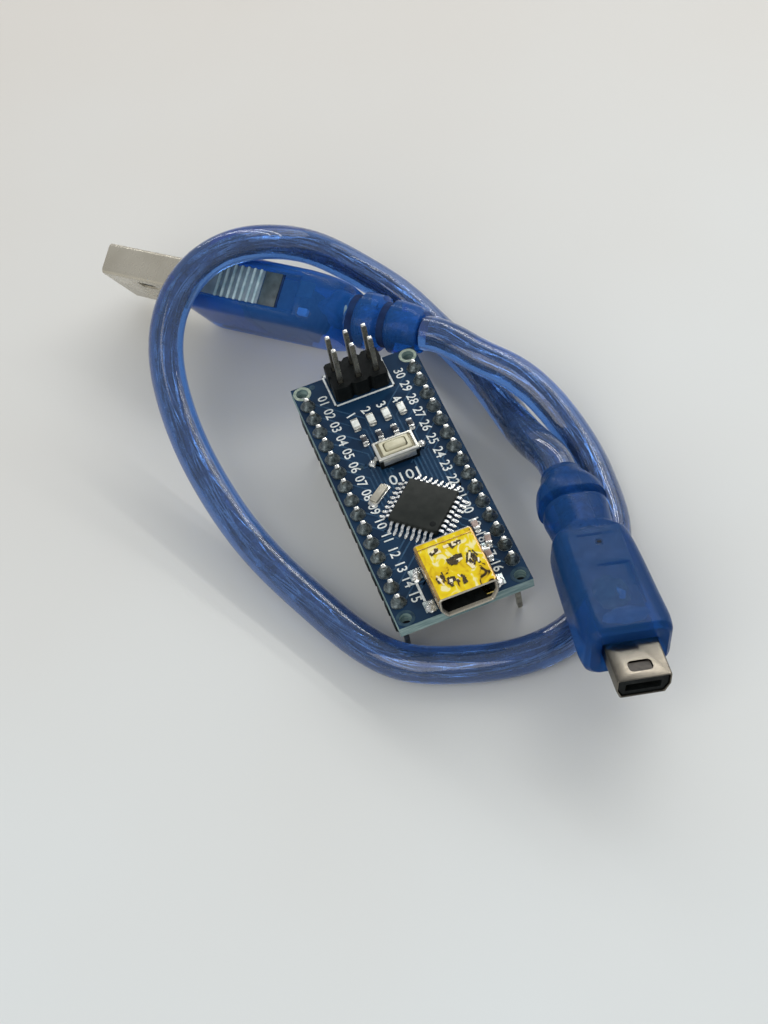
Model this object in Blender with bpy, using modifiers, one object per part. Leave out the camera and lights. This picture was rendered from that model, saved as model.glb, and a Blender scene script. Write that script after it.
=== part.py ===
"""A small microcontroller board on two pin headers, with its short USB cable looped round it.

Frame: metres, +Z up, the origin on the table under the middle of the board, +Y along the board from
the USB socket to the programming header, +X from the first pin row to the second.
"""

import math

import bmesh
import bpy
from mathutils import Matrix, Vector

MM = 0.001
KIT_NAME = "microcontroller_board_kit"

# Driving dimensions, in millimetres.
PITCH = 2.54
PINS_PER_ROW = 15
ROW_X = 3 * PITCH
PIN_WIDTH = 0.64
PIN_TAIL = 5.9
HEADER_HEIGHT = 2.5
GAP = 0.1

BOARD_WIDTH = 7 * PITCH
BOARD_LENGTH = 17 * PITCH
BOARD_THICKNESS = 1.6
BOARD_BOTTOM = PIN_TAIL + HEADER_HEIGHT + GAP
BOARD_TOP = BOARD_BOTTOM + BOARD_THICKNESS
SOCKET_OVERHANG = 1.0
BOARD_Y = SOCKET_OVERHANG / 2
MOUNT_HOLE_X = 3 * PITCH
MOUNT_HOLE_Y = 8 * PITCH
MOUNT_HOLE_RADIUS = 0.8
PIN_HOLE_RADIUS = 0.55

FILLET_RADIUS = 0.95
FILLET_HEIGHT = 1.25
FILLET_GAP = 0.1

PROGRAM_COLUMNS = 3
PROGRAM_ROWS = 2
PROGRAM_Y = BOARD_Y + 7.5 * PITCH
PROGRAM_PIN_TOP = BOARD_TOP + 8.7
PROGRAM_PIN_BOTTOM = BOARD_BOTTOM - 1.4

SOCKET_X = 0.3
SOCKET_WIDTH = 7.7
SOCKET_FOOT_WIDTH = 6.3
SOCKET_LENGTH = 9.2
SOCKET_HEIGHT = 3.95
SOCKET_FRONT = BOARD_Y - BOARD_LENGTH / 2 - SOCKET_OVERHANG
SHEET = 0.3

CHIP_X = 0.4
CHIP_Y = BOARD_Y - 5.5
CHIP_SIDE = 7.0
CHIP_HEIGHT = 1.0
CHIP_LEADS_PER_SIDE = 8
CHIP_LEAD_PITCH = 0.8

SWITCH_X = 0.4
SWITCH_Y = BOARD_Y + 4.6
SWITCH_LENGTH = 5.5
SWITCH_WIDTH = 3.2
BUTTON_LENGTH = 2.9
BUTTON_WIDTH = 1.4
BUTTON_TRAVEL = 0.25

LED_X = 0.37
LED_Y = BOARD_Y + 11.7
LED_PITCH = 2.16

CABLE_DIAMETER = 4.8
CABLE_STEP = 4.0
CABLE_STRAIGHT = 2.0
JOINT_GAP = 0.3

# Each plug has its own frame: origin in the middle of its mouth, +Y from the mouth to the cable,
# +X across its wide side. It is turned by a lean about Y, then a rise about X, then a heading about Z.
PLUG_A_MOUTH = (-23.3, 57.9, 7.5)
PLUG_A_TURN = (-62.8, 2.2, -134.1)
PLUG_A_SHELL = (12.0, 4.5)
PLUG_A_EXPOSED = 12.8
PLUG_A_SHELL_LENGTH = 22.0
PLUG_A_LENGTH = 48.0
CORNER_POINTS = 6

PLUG_MINI_MOUTH = (14.4, -42.3, 11.6)
PLUG_MINI_TURN = (10.5, -5.4, -6.7)
PLUG_MINI_SHELL_WIDTH = 6.8
PLUG_MINI_SHELL_FOOT = 5.6
PLUG_MINI_SHELL_HEIGHT = 3.1
PLUG_MINI_EXPOSED = 5.8
PLUG_MINI_SHELL_LENGTH = 13.0
PLUG_MINI_LENGTH = 36.2

# The cable's route between its two strain reliefs, along the middle of the cable.
CABLE_ROUTE = [
    (16.4, 17.6, 8.9),
    (19.7, 13.6, 7.9),
    (22.2, 9.2, 6.2),
    (23.7, 4.2, 4.2),
    (24.3, -1.0, 2.8),
    (23.9, -6.5, 2.5),
    (22.9, -12.0, 2.5),
    (20.4, -17.3, 2.5),
    (17.0, -21.8, 2.5),
    (12.8, -24.9, 2.5),
    (7.8, -26.2, 2.5),
    (2.5, -25.8, 2.5),
    (-3.2, -23.9, 2.5),
    (-9.2, -20.6, 2.5),
    (-13.5, -14.6, 2.5),
    (-16.5, -7.6, 2.6),
    (-19.2, -0.8, 3.0),
    (-21.4, 6.0, 3.8),
    (-23.0, 13.5, 5.2),
    (-23.9, 21.0, 7.4),
    (-23.8, 28.0, 10.4),
    (-22.4, 34.0, 13.8),
    (-19.2, 38.5, 16.9),
    (-14.5, 41.2, 19.0),
    (-8.8, 42.1, 19.6),
    (-3.0, 42.3, 17.6),
    (2.9, 42.7, 12.7),
    (7.8, 40.4, 8.0),
    (11.6, 36.5, 4.8),
    (13.9, 31.5, 3.0),
    (15.6, 26.0, 2.5),
    (16.9, 20.0, 2.5),
    (17.6, 14.2, 2.6),
    (17.9, 8.6, 3.5),
    (18.3, 2.3, 5.8),
]


def clear_scene():
    for old in list(bpy.data.objects):
        bpy.data.objects.remove(old, do_unlink=True)


def new_collection(name):
    collection = bpy.data.collections.new(name)
    bpy.context.scene.collection.children.link(collection)
    return collection


clear_scene()
PARTS = new_collection(KIT_NAME)
CUTTERS = new_collection("cutters")


def make_material(name, color, roughness, metallic=0.0):
    material = bpy.data.materials.new(name)
    material.use_nodes = True
    shader = material.node_tree.nodes["Principled BSDF"]
    shader.inputs["Base Color"].default_value = (*color, 1.0)
    shader.inputs["Roughness"].default_value = roughness
    shader.inputs["Metallic"].default_value = metallic
    material.diffuse_color = (*color, 1.0)
    return material


MATERIALS = {
    "board": make_material("board_blue", (0.02, 0.07, 0.16), 0.4),
    "black_plastic": make_material("header_black", (0.015, 0.015, 0.017), 0.5),
    "chip": make_material("chip_grey", (0.035, 0.035, 0.038), 0.55),
    "pin": make_material("tinned_pin", (0.62, 0.6, 0.54), 0.35, 1.0),
    "nickel": make_material("nickel", (0.66, 0.62, 0.55), 0.3, 1.0),
    "cream": make_material("button_cream", (0.75, 0.76, 0.6), 0.4),
    "led": make_material("led_white", (0.85, 0.88, 0.82), 0.3),
    "white_plastic": make_material("insert_white", (0.8, 0.8, 0.78), 0.45),
    "cable": make_material("cable_blue", (0.07, 0.12, 0.36), 0.3),
    "blue_a": make_material("plug_blue_deep", (0.01, 0.06, 0.42), 0.25),
    "blue_mini": make_material("plug_blue_satin", (0.03, 0.08, 0.28), 0.35),
}


def mesh_object(name, mesh, material, collection):
    item = bpy.data.objects.new(name, mesh)
    if material:
        mesh.materials.clear()
        mesh.materials.append(MATERIALS[material])
    collection.objects.link(item)
    return item


def mesh_from(bm, name):
    bmesh.ops.recalc_face_normals(bm, faces=bm.faces)
    mesh = bpy.data.meshes.new(name)
    bm.to_mesh(mesh)
    bm.free()
    return mesh


def smooth(item, angle=35.0):
    item.data.shade_smooth()
    item.data.set_sharp_from_angle(angle=math.radians(angle))


def box_matrix(size, center):
    shift = Matrix.Translation(Vector(center) * MM)
    return shift @ Matrix.Diagonal((size[0] * MM, size[1] * MM, size[2] * MM, 1.0))


def add_box(name, size, center, material, parent=None, turn=0.0, bevel=0.0, collection=PARTS):
    """A box with its scale applied, at a place and a turn about Z, with optional rounded edges."""
    bm = bmesh.new()
    bmesh.ops.create_cube(bm, size=1.0, matrix=box_matrix(size, (0, 0, 0)))
    item = mesh_object(name, mesh_from(bm, name), material, collection)
    item.location = Vector(center) * MM
    item.rotation_euler = (0, 0, math.radians(turn))
    item.parent = parent
    if bevel:
        rounding = item.modifiers.new("rounding", "BEVEL")
        rounding.width = bevel * MM
        rounding.segments = 2
    return item


def add_cutter_boxes(name, boxes, parent=None):
    """One tool made of several separate boxes, each a (size, center) pair."""
    bm = bmesh.new()
    for size, center in boxes:
        bmesh.ops.create_cube(bm, size=1.0, matrix=box_matrix(size, center))
    return as_tool(mesh_object(name, mesh_from(bm, name), None, CUTTERS), parent)


def add_cutter_rods(name, rods, segments=12):
    """One tool made of several upright rods, each (x, y, radius, low z, high z)."""
    bm = bmesh.new()
    for x, y, radius, low, high in rods:
        place = Matrix.Translation(Vector((x, y, (low + high) / 2)) * MM)
        bmesh.ops.create_cone(
            bm,
            cap_ends=True,
            segments=segments,
            radius1=radius * MM,
            radius2=radius * MM,
            depth=(high - low) * MM,
            matrix=place,
        )
    return as_tool(mesh_object(name, mesh_from(bm, name), None, CUTTERS))


def as_tool(item, parent=None):
    item.hide_render = True
    item.display_type = "WIRE"
    item.parent = parent
    return item


def combine(item, tool, operation):
    step = item.modifiers.new(operation.lower(), "BOOLEAN")
    step.operation = operation
    step.object = tool
    return item


def cut(item, tool):
    return combine(item, tool, "DIFFERENCE")


def join(item, tool):
    return combine(item, tool, "UNION")


def outline_mesh(name, points, thickness):
    """The mesh of a flat outline in the XY plane, extruded to a thickness about that plane."""
    curve = bpy.data.curves.new(name, "CURVE")
    curve.dimensions = "2D"
    curve.fill_mode = "BOTH"
    curve.extrude = thickness / 2 * MM
    spline = curve.splines.new("POLY")
    spline.points.add(len(points) - 1)
    for point, (x, y) in zip(spline.points, points):
        point.co = (x * MM, y * MM, 0, 1)
    spline.use_cyclic_u = True
    return welded_mesh(name, curve)


def welded_mesh(name, curve):
    """A curve's evaluated mesh with its caps welded on. The curve is removed."""
    guide = bpy.data.objects.new(name + "_curve", curve)
    CUTTERS.objects.link(guide)
    depsgraph = bpy.context.evaluated_depsgraph_get()
    mesh = bpy.data.meshes.new_from_object(guide.evaluated_get(depsgraph))
    bpy.data.objects.remove(guide, do_unlink=True)
    bm = bmesh.new()
    bm.from_mesh(mesh)
    bmesh.ops.remove_doubles(bm, verts=bm.verts, dist=1e-6)
    bpy.data.meshes.remove(mesh)
    return mesh_from(bm, name)


def add_plate(name, points, low, high, material, parent=None, collection=PARTS):
    """A flat outline, upright from low to high."""
    item = mesh_object(name, outline_mesh(name, points, high - low), material, collection)
    item.location = (0, 0, (low + high) / 2 * MM)
    item.parent = parent
    return item


def add_channel(name, points, low, high, material, parent=None, collection=PARTS):
    """An outline drawn in the XZ plane and extruded along Y from low to high."""
    item = mesh_object(name, outline_mesh(name, points, high - low), material, collection)
    item.rotation_euler = (math.radians(90), 0, 0)
    item.location = (0, (low + high) / 2 * MM, 0)
    item.parent = parent
    return item


def finished_mesh(item):
    """The mesh of an object with its modifiers applied."""
    depsgraph = bpy.context.evaluated_depsgraph_get()
    return bpy.data.meshes.new_from_object(item.evaluated_get(depsgraph))


def row_y(index):
    """The Y of a pin in a side row, counted from the programming header's end."""
    return BOARD_Y + PITCH * ((PINS_PER_ROW - 1) / 2 - index)


def program_pin_places():
    places = []
    for row in range(PROGRAM_ROWS):
        for column in range(PROGRAM_COLUMNS):
            x = PITCH * (column - (PROGRAM_COLUMNS - 1) / 2)
            y = PROGRAM_Y + PITCH * ((PROGRAM_ROWS - 1) / 2 - row)
            places.append((x, y))
    return places


def notched_outline(columns, rows, notch=0.45, corner=0.35):
    """A header body seen from above: one square cell per pin, with a notch between cells."""
    half_x = columns * PITCH / 2
    half_y = rows * PITCH / 2
    cells = [
        (columns, (-half_x, -half_y), (1, 0)),
        (rows, (half_x, -half_y), (0, 1)),
        (columns, (half_x, half_y), (-1, 0)),
        (rows, (-half_x, half_y), (0, -1)),
    ]
    points = []
    for count, start, (dx, dy) in cells:
        length = count * PITCH
        steps = [(corner, 0.0)]
        for joint in range(1, count):
            middle = joint * PITCH
            steps += [(middle - notch, 0.0), (middle, notch), (middle + notch, 0.0)]
        steps.append((length - corner, 0.0))
        for reach, inset in steps:
            x = start[0] + dx * reach - dy * inset
            y = start[1] + dy * reach + dx * inset
            points.append((x, y))
    return points


def build_board():
    board = add_box(
        "circuit_board",
        (BOARD_WIDTH, BOARD_LENGTH, BOARD_THICKNESS),
        (0, BOARD_Y, (BOARD_BOTTOM + BOARD_TOP) / 2),
        "board",
    )
    low = BOARD_BOTTOM - 1
    high = BOARD_TOP + 1
    rods = []
    for side in (-1, 1):
        for index in range(PINS_PER_ROW):
            rods.append((side * ROW_X, row_y(index), PIN_HOLE_RADIUS, low, high))
        for end in (-1, 1):
            y = BOARD_Y + end * MOUNT_HOLE_Y
            rods.append((side * MOUNT_HOLE_X, y, MOUNT_HOLE_RADIUS, low, high))
    for x, y in program_pin_places():
        rods.append((x, y, PIN_HOLE_RADIUS, low, high))
    return cut(board, add_cutter_rods("board_drills", rods))


def pin_hole_boxes(places, low, high):
    width = PIN_WIDTH + 2 * GAP
    return [((width, width, high - low), (x, y, (low + high) / 2)) for x, y in places]


def build_header_strip(name, x):
    outline = [(px + x, py + BOARD_Y) for px, py in notched_outline(1, PINS_PER_ROW)]
    top = PIN_TAIL + HEADER_HEIGHT
    strip = add_plate(name, outline, PIN_TAIL, top, "black_plastic")
    places = [(x, row_y(index)) for index in range(PINS_PER_ROW)]
    return cut(strip, add_cutter_boxes(name + "_holes", pin_hole_boxes(places, PIN_TAIL - 1, top + 1)))


def square_bar(name, low, high, taper=0.5):
    """A square pin along Z with both ends tapered, as a mesh."""
    half = PIN_WIDTH / 2
    tip = half * 0.55
    profile = [(half, high - taper), (half, low + taper), (tip, low), (0, low)]
    bm = bmesh.new()
    previous = bm.verts.new((0, 0, high * MM))
    for radius, z in [(tip, high)] + profile:
        vertex = bm.verts.new((radius * math.sqrt(2) * MM, 0, z * MM))
        bm.edges.new((previous, vertex))
        previous = vertex
    mesh = bpy.data.meshes.new(name)
    bm.to_mesh(mesh)
    bm.free()
    return turned(name, mesh, 4)


def turned(name, mesh, steps, collection=CUTTERS):
    """A profile mesh at +X turned about Z with a Screw modifier."""
    item = bpy.data.objects.new(name, mesh)
    collection.objects.link(item)
    screw = item.modifiers.new("turn", "SCREW")
    screw.steps = steps
    screw.render_steps = steps
    screw.use_merge_vertices = True
    screw.merge_threshold = 0.000001
    screw.use_smooth_shade = False
    return item


def solder_fillet(name, base, direction):
    """The concave cone of solder round a pin, rising from base in a direction of 1 or -1."""
    heights = [0.0, 0.15, 0.5, 1.0]
    radii = [FILLET_RADIUS, FILLET_RADIUS * 0.85, 0.6, 0.4]
    profile = [(0.0, base)]
    profile += [(r, base + direction * h * FILLET_HEIGHT) for r, h in zip(radii, heights)]
    profile.append((0.0, base + direction * FILLET_HEIGHT))
    if direction > 0:
        profile.reverse()
    bm = bmesh.new()
    vertices = [bm.verts.new((radius * MM, 0, z * MM)) for radius, z in profile]
    for first, second in zip(vertices, vertices[1:]):
        bm.edges.new((first, second))
    mesh = bpy.data.meshes.new(name)
    bm.to_mesh(mesh)
    bm.free()
    return turned(name, mesh, 10)


def soldered_pin_mesh(name, low, high, solder_base, direction):
    """A square pin with its solder fillet, as one finished mesh."""
    bar = square_bar(name + "_bar", low, high)
    fillet = solder_fillet(name + "_fillet", solder_base, direction)
    as_tool(fillet)
    bar.rotation_euler = (0, 0, math.radians(45))
    join(bar, fillet)
    mesh = finished_mesh(bar)
    mesh.transform(Matrix.Rotation(math.radians(45), 4, "Z"))
    as_tool(bar)
    mesh.materials.clear()
    mesh.materials.append(MATERIALS["pin"])
    return mesh


def place_pins(mesh, names, places):
    for name, (x, y) in zip(names, places):
        pin = bpy.data.objects.new(name, mesh)
        PARTS.objects.link(pin)
        pin.location = (x * MM, y * MM, 0)


def build_side_headers():
    mesh = soldered_pin_mesh("header_pin", 0.0, BOARD_TOP + 1.45, BOARD_TOP + FILLET_GAP, 1)
    for side, x in (("left", -ROW_X), ("right", ROW_X)):
        build_header_strip(side + "_header_strip", x)
        names = [f"{side}_header_pin_{index + 1:02d}" for index in range(PINS_PER_ROW)]
        place_pins(mesh, names, [(x, row_y(index)) for index in range(PINS_PER_ROW)])


def build_program_header():
    base = BOARD_TOP + GAP
    top = base + HEADER_HEIGHT
    outline = [(x, y + PROGRAM_Y) for x, y in notched_outline(PROGRAM_COLUMNS, PROGRAM_ROWS)]
    block = add_plate("program_header_base", outline, base, top, "black_plastic")
    places = program_pin_places()
    cut(block, add_cutter_boxes("program_header_holes", pin_hole_boxes(places, base - 1, top + 1)))
    mesh = soldered_pin_mesh(
        "program_pin",
        PROGRAM_PIN_BOTTOM,
        PROGRAM_PIN_TOP,
        BOARD_BOTTOM - FILLET_GAP,
        -1,
    )
    names = [f"program_pin_{index + 1}" for index in range(len(places))]
    place_pins(mesh, names, places)


def stepped_outline(width, foot_width, low, high, shoulder, inset=0.0, corner=0.5):
    """A mini USB mouth seen from the front: wide above the shoulder, narrower at the foot."""
    half = width / 2 - inset
    foot = foot_width / 2 - inset
    top = high - inset
    bottom = low + inset
    right = [
        (foot, bottom),
        (half, shoulder),
        (half, top - corner),
        (half - corner, top),
    ]
    left = [(-x, z) for x, z in reversed(right)]
    return right + left


def shifted(points, dx, dz=0.0):
    return [(x + dx, z + dz) for x, z in points]


def build_socket():
    low = BOARD_TOP + GAP
    high = BOARD_TOP + SOCKET_HEIGHT
    shoulder = BOARD_TOP + 1.7
    back = SOCKET_FRONT + SOCKET_LENGTH
    dims = (SOCKET_WIDTH, SOCKET_FOOT_WIDTH, low, high, shoulder)
    outer = shifted(stepped_outline(*dims), SOCKET_X)
    shell = add_channel("usb_socket_shell", outer, SOCKET_FRONT, back, "nickel")
    cavity = shifted(stepped_outline(*dims, inset=SHEET), SOCKET_X)
    hollow = add_channel("socket_cavity", cavity, SOCKET_FRONT - 1, back - SHEET, None, None, CUTTERS)
    cut(shell, as_tool(hollow))
    tabs = []
    for side in (-1, 1):
        for tab_y in (SOCKET_FRONT + 2.6, back - 1.3):
            center = (SOCKET_X + side * 4.0, tab_y, low + SHEET / 2)
            tabs.append(((2.0, 1.8, SHEET), center))
    join(shell, add_cutter_boxes("socket_tabs", tabs))

    room = shifted(stepped_outline(*dims, inset=SHEET + GAP), SOCKET_X)
    block_front = back - SHEET - GAP - 1.9
    block = add_channel("usb_socket_insert", room, block_front, back - SHEET - GAP, "black_plastic")
    tongue_front = SOCKET_FRONT + 1.2
    tongue = (
        (4.4, block_front + 1 - tongue_front, 0.9),
        (SOCKET_X, (tongue_front + block_front + 1) / 2, BOARD_TOP + 2.35),
    )
    join(block, add_cutter_boxes("socket_tongue", [tongue]))


def chip_leads():
    """The chip's bent leads, all sides, about the chip's middle at board level."""
    outline = [
        (3.3, 0.68),
        (3.9, 0.68),
        (4.12, 0.22),
        (4.6, 0.22),
        (4.6, 0.07),
        (4.0, 0.07),
        (3.78, 0.53),
        (3.3, 0.53),
    ]
    lead = outline_mesh("chip_lead", outline, 0.34)
    upright = Matrix.Rotation(math.radians(90), 4, "X")
    bm = bmesh.new()
    for side in range(4):
        turn = Matrix.Rotation(math.radians(90 * side), 4, "Z")
        for index in range(CHIP_LEADS_PER_SIDE):
            y = CHIP_LEAD_PITCH * (index - (CHIP_LEADS_PER_SIDE - 1) / 2)
            copy = lead.copy()
            copy.transform(turn @ Matrix.Translation((0, y * MM, 0)) @ upright)
            bm.from_mesh(copy)
            bpy.data.meshes.remove(copy)
    bpy.data.meshes.remove(lead)
    return as_tool(mesh_object("chip_leads", mesh_from(bm, "chip_leads"), None, CUTTERS))


def build_chip():
    center_z = BOARD_TOP + GAP + CHIP_HEIGHT / 2 + 0.05
    chip = add_box(
        "microcontroller",
        (CHIP_SIDE, CHIP_SIDE, CHIP_HEIGHT),
        (CHIP_X, CHIP_Y, center_z),
        "chip",
        turn=45.0,
    )
    leads = chip_leads()
    leads.location = Vector((CHIP_X, CHIP_Y, BOARD_TOP)) * MM
    leads.rotation_euler = (0, 0, math.radians(45))
    join(chip, leads)


def build_switch():
    base_low = BOARD_TOP + GAP
    base_top = BOARD_TOP + 1.45
    center = (SWITCH_X, SWITCH_Y, (base_low + base_top) / 2)
    base = add_box(
        "switch_base",
        (SWITCH_LENGTH, SWITCH_WIDTH, base_top - base_low),
        center,
        "black_plastic",
    )
    pocket_floor = BOARD_TOP + 0.5
    foot = (BUTTON_LENGTH + 0.7, BUTTON_WIDTH + 0.6)
    pocket = (
        (foot[0] + 0.3, foot[1] + 0.3, 2.0),
        (SWITCH_X, SWITCH_Y, pocket_floor + 1.0),
    )
    cut(base, add_cutter_boxes("switch_pocket", [pocket]))
    leads = []
    for side in (-1, 1):
        lead_center = (SWITCH_X + side * (SWITCH_LENGTH / 2 + 0.35), SWITCH_Y, BOARD_TOP + 0.3)
        leads.append(((1.1, 0.7, 0.35), lead_center))
    join(base, add_cutter_boxes("switch_leads", leads))

    cover_low = base_top + GAP
    cover_top = cover_low + 0.4
    cover = add_box(
        "switch_cover",
        (SWITCH_LENGTH + 0.1, SWITCH_WIDTH + 0.1, cover_top - cover_low),
        (SWITCH_X, SWITCH_Y, (cover_low + cover_top) / 2),
        "nickel",
    )
    opening = (
        (BUTTON_LENGTH + 0.3, BUTTON_WIDTH + 0.3, 2.0),
        (SWITCH_X, SWITCH_Y, cover_low),
    )
    cut(cover, add_cutter_boxes("switch_opening", [opening]))

    foot_low = pocket_floor + BUTTON_TRAVEL + GAP
    foot_top = cover_low - GAP
    button_top = BOARD_TOP + 2.6
    button = add_box(
        "reset_button",
        (BUTTON_LENGTH, BUTTON_WIDTH, button_top - foot_low),
        (SWITCH_X, SWITCH_Y, (foot_low + button_top) / 2),
        "cream",
    )
    flange = ((foot[0], foot[1], foot_top - foot_low), (0, 0, (foot_top - button_top) / 2))
    join(button, add_cutter_boxes("button_flange", [flange], button))


def build_small_parts():
    for index in range(4):
        x = LED_X + LED_PITCH * (index - 1.5)
        center = (x, LED_Y, BOARD_TOP + GAP + 0.3)
        add_box(f"status_led_{index + 1}", (0.85, 1.7, 0.6), center, "led", bevel=0.08)
    center = (-4.05, BOARD_Y - 0.8, BOARD_TOP + GAP + 0.35)
    add_box("crystal_can", (3.0, 1.25, 0.7), center, "nickel", turn=38.0, bevel=0.15)
    add_box(
        "usb_serial_chip",
        (3.9, 9.9, 1.45),
        (0, BOARD_Y - 2.0, BOARD_BOTTOM - GAP - 0.725),
        "chip",
    )
    add_box(
        "voltage_regulator",
        (6.5, 3.5, 1.6),
        (0, BOARD_Y - 16.5, BOARD_BOTTOM - GAP - 0.8),
        "chip",
    )


def rounded_ring(half_x, half_z, corner):
    """Points round a rounded rectangle, always the same number. An end of a corner is one point."""
    points = []
    for sign_x, sign_z, start in ((1, 1, 0), (-1, 1, 90), (-1, -1, 180), (1, -1, 270)):
        for step in range(CORNER_POINTS):
            angle = math.radians(start + 90 * step / (CORNER_POINTS - 1))
            x = sign_x * (half_x - corner) + corner * math.cos(angle)
            z = sign_z * (half_z - corner) + corner * math.sin(angle)
            points.append((x, z))
    return points


def loft(name, sections, material, parent):
    """A closed skin through sections along Y, each (y, half width, half thickness, corner)."""
    bm = bmesh.new()
    rings = []
    for y, half_x, half_z, corner in sections:
        ring = rounded_ring(half_x, half_z, corner)
        rings.append([bm.verts.new((x * MM, y * MM, z * MM)) for x, z in ring])
    count = len(rings[0])
    for first, second in zip(rings, rings[1:]):
        for index in range(count):
            after = (index + 1) % count
            bm.faces.new((first[index], first[after], second[after], second[index]))
    bm.faces.new(rings[0])
    bm.faces.new(rings[-1])
    item = mesh_object(name, mesh_from(bm, name), material, PARTS)
    item.parent = parent
    return item


def plug_frame(name, mouth, turn):
    frame = bpy.data.objects.new(name, None)
    CUTTERS.objects.link(frame)
    frame.rotation_mode = "YXZ"
    lean, rise, heading = (math.radians(angle) for angle in turn)
    frame.rotation_euler = (rise, lean, heading)
    frame.location = Vector(mouth) * MM
    bpy.context.view_layer.update()
    return frame


def rounded_rectangle(width, height, corner):
    half_x = width / 2
    half_z = height / 2
    points = []
    for center_x, center_z, start in (
        (half_x - corner, half_z - corner, 0),
        (corner - half_x, half_z - corner, 90),
        (corner - half_x, corner - half_z, 180),
        (half_x - corner, corner - half_z, 270),
    ):
        for step in range(3):
            angle = math.radians(start + 45 * step)
            points.append((center_x + corner * math.cos(angle), center_z + corner * math.sin(angle)))
    return points


def build_plug_a(frame):
    width, height = PLUG_A_SHELL
    outer = rounded_rectangle(width, height, 0.6)
    shell = add_channel("usb_a_shell", outer, 0, PLUG_A_SHELL_LENGTH, "nickel", frame)
    bore = rounded_rectangle(width - 2 * SHEET, height - 2 * SHEET, 0.35)
    hollow = add_channel("usb_a_bore", bore, -1, PLUG_A_SHELL_LENGTH + 1, None, frame, CUTTERS)
    cut(shell, as_tool(hollow, frame))
    windows = [((2.3, 2.6, height + 2), (side * 3.1, 6.5, 0)) for side in (-1, 1)]
    cut(shell, add_cutter_boxes("usb_a_windows", windows, frame))

    inside = (width - 2 * SHEET - 2 * GAP, height - 2 * SHEET - 2 * GAP)
    block_start = 13.0
    block_end = PLUG_A_SHELL_LENGTH - 0.5
    block = add_channel(
        "usb_a_insert",
        rounded_rectangle(*inside, 0.3),
        block_start,
        block_end,
        "white_plastic",
        frame,
    )
    tongue_thickness = 1.8
    tongue_setback = 0.8
    tongue_low = 0.02 - inside[1] / 2
    tongue_size = (inside[0] - 0.2, block_start, tongue_thickness)
    tongue_middle = (0, block_start / 2 + tongue_setback, tongue_low + tongue_thickness / 2)
    tongue = add_cutter_boxes("usb_a_tongue", [(tongue_size, tongue_middle)], frame)
    join(block, tongue)

    front = PLUG_A_EXPOSED
    pocket_end = PLUG_A_SHELL_LENGTH + JOINT_GAP
    pocket = (width / 2 + JOINT_GAP, height / 2 + JOINT_GAP, 0.7)
    sections = [
        (pocket_end, *pocket),
        (front, *pocket),
        (front, 6.8, 3.1, 1.3),
        (front + 0.4, 7.2, 3.6, 1.8),
        (front + 1.3, 7.7, 4.1, 2.3),
        (front + 2.6, 7.9, 4.25, 2.5),
        (front + 18.6, 7.8, 4.2, 2.5),
        (front + 21.1, 7.3, 4.15, 2.6),
        (front + 22.9, 6.3, 4.1, 2.8),
        (front + 24.0, 5.0, 4.0, 3.2),
        (front + 24.5, 3.4, 3.4, 3.3),
        (front + 26.0, 3.3, 3.3, 3.2),
        (front + 26.4, 4.0, 4.0, 3.9),
        (front + 29.0, 3.9, 3.9, 3.8),
        (front + 29.4, 3.1, 3.1, 3.0),
        (front + 30.6, 3.1, 3.1, 3.0),
        (front + 31.0, 3.7, 3.7, 3.6),
        (PLUG_A_LENGTH - 1.0, 3.4, 3.4, 3.3),
        (PLUG_A_LENGTH, 2.9, 2.9, 2.8),
    ]
    body = loft("usb_a_overmold", sections, "blue_a", frame)
    smooth(body)


def build_plug_mini(frame):
    half = PLUG_MINI_SHELL_HEIGHT / 2
    dims = (PLUG_MINI_SHELL_WIDTH, PLUG_MINI_SHELL_FOOT, -half, half, -0.2)
    shell_end = PLUG_MINI_SHELL_LENGTH
    shell = add_channel("usb_mini_shell", stepped_outline(*dims, corner=0.4), 0, shell_end, "nickel", frame)
    bore = stepped_outline(*dims, inset=0.25, corner=0.3)
    hollow = add_channel("usb_mini_bore", bore, -1, shell_end + 1, None, frame, CUTTERS)
    cut(shell, as_tool(hollow, frame))
    latch = ((3.0, 1.7, 1.0), (0, 2.0, half))
    cut(shell, add_cutter_boxes("usb_mini_latch_hole", [latch], frame))

    room = stepped_outline(*dims, inset=0.25 + GAP, corner=0.25)
    insert = add_channel("usb_mini_insert", room, 0.1, shell_end - 0.5, "black_plastic", frame)
    slot = ((4.4, 8.0, 1.1), (0, 1.5, -0.1))
    cut(insert, add_cutter_boxes("usb_mini_slot", [slot], frame))

    front = PLUG_MINI_EXPOSED
    pocket = (PLUG_MINI_SHELL_WIDTH / 2 + JOINT_GAP, half + JOINT_GAP, 0.3)
    sections = [
        (shell_end + JOINT_GAP, *pocket),
        (front, *pocket),
        (front, 4.8, 3.2, 1.6),
        (front + 0.7, 5.4, 3.8, 2.0),
        (front + 2.5, 5.65, 3.9, 2.2),
        (front + 6.0, 5.5, 3.9, 2.2),
        (front + 14.0, 5.2, 3.8, 2.2),
        (front + 17.6, 4.9, 3.7, 2.4),
        (front + 18.8, 4.2, 3.5, 2.6),
        (front + 19.2, 3.8, 3.4, 2.8),
        (front + 22.0, 4.0, 3.5, 2.9),
        (front + 23.8, 4.2, 3.6, 3.0),
        (front + 24.1, 3.2, 2.9, 2.8),
        (front + 24.9, 3.2, 2.9, 2.8),
        (front + 25.2, 4.5, 3.7, 3.2),
        (front + 27.0, 4.3, 3.6, 3.2),
        (PLUG_MINI_LENGTH - 1.2, 3.2, 3.1, 3.0),
        (PLUG_MINI_LENGTH, 2.8, 2.8, 2.7),
    ]
    body = loft("usb_mini_overmold", sections, "blue_mini", frame)
    smooth(body)


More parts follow.
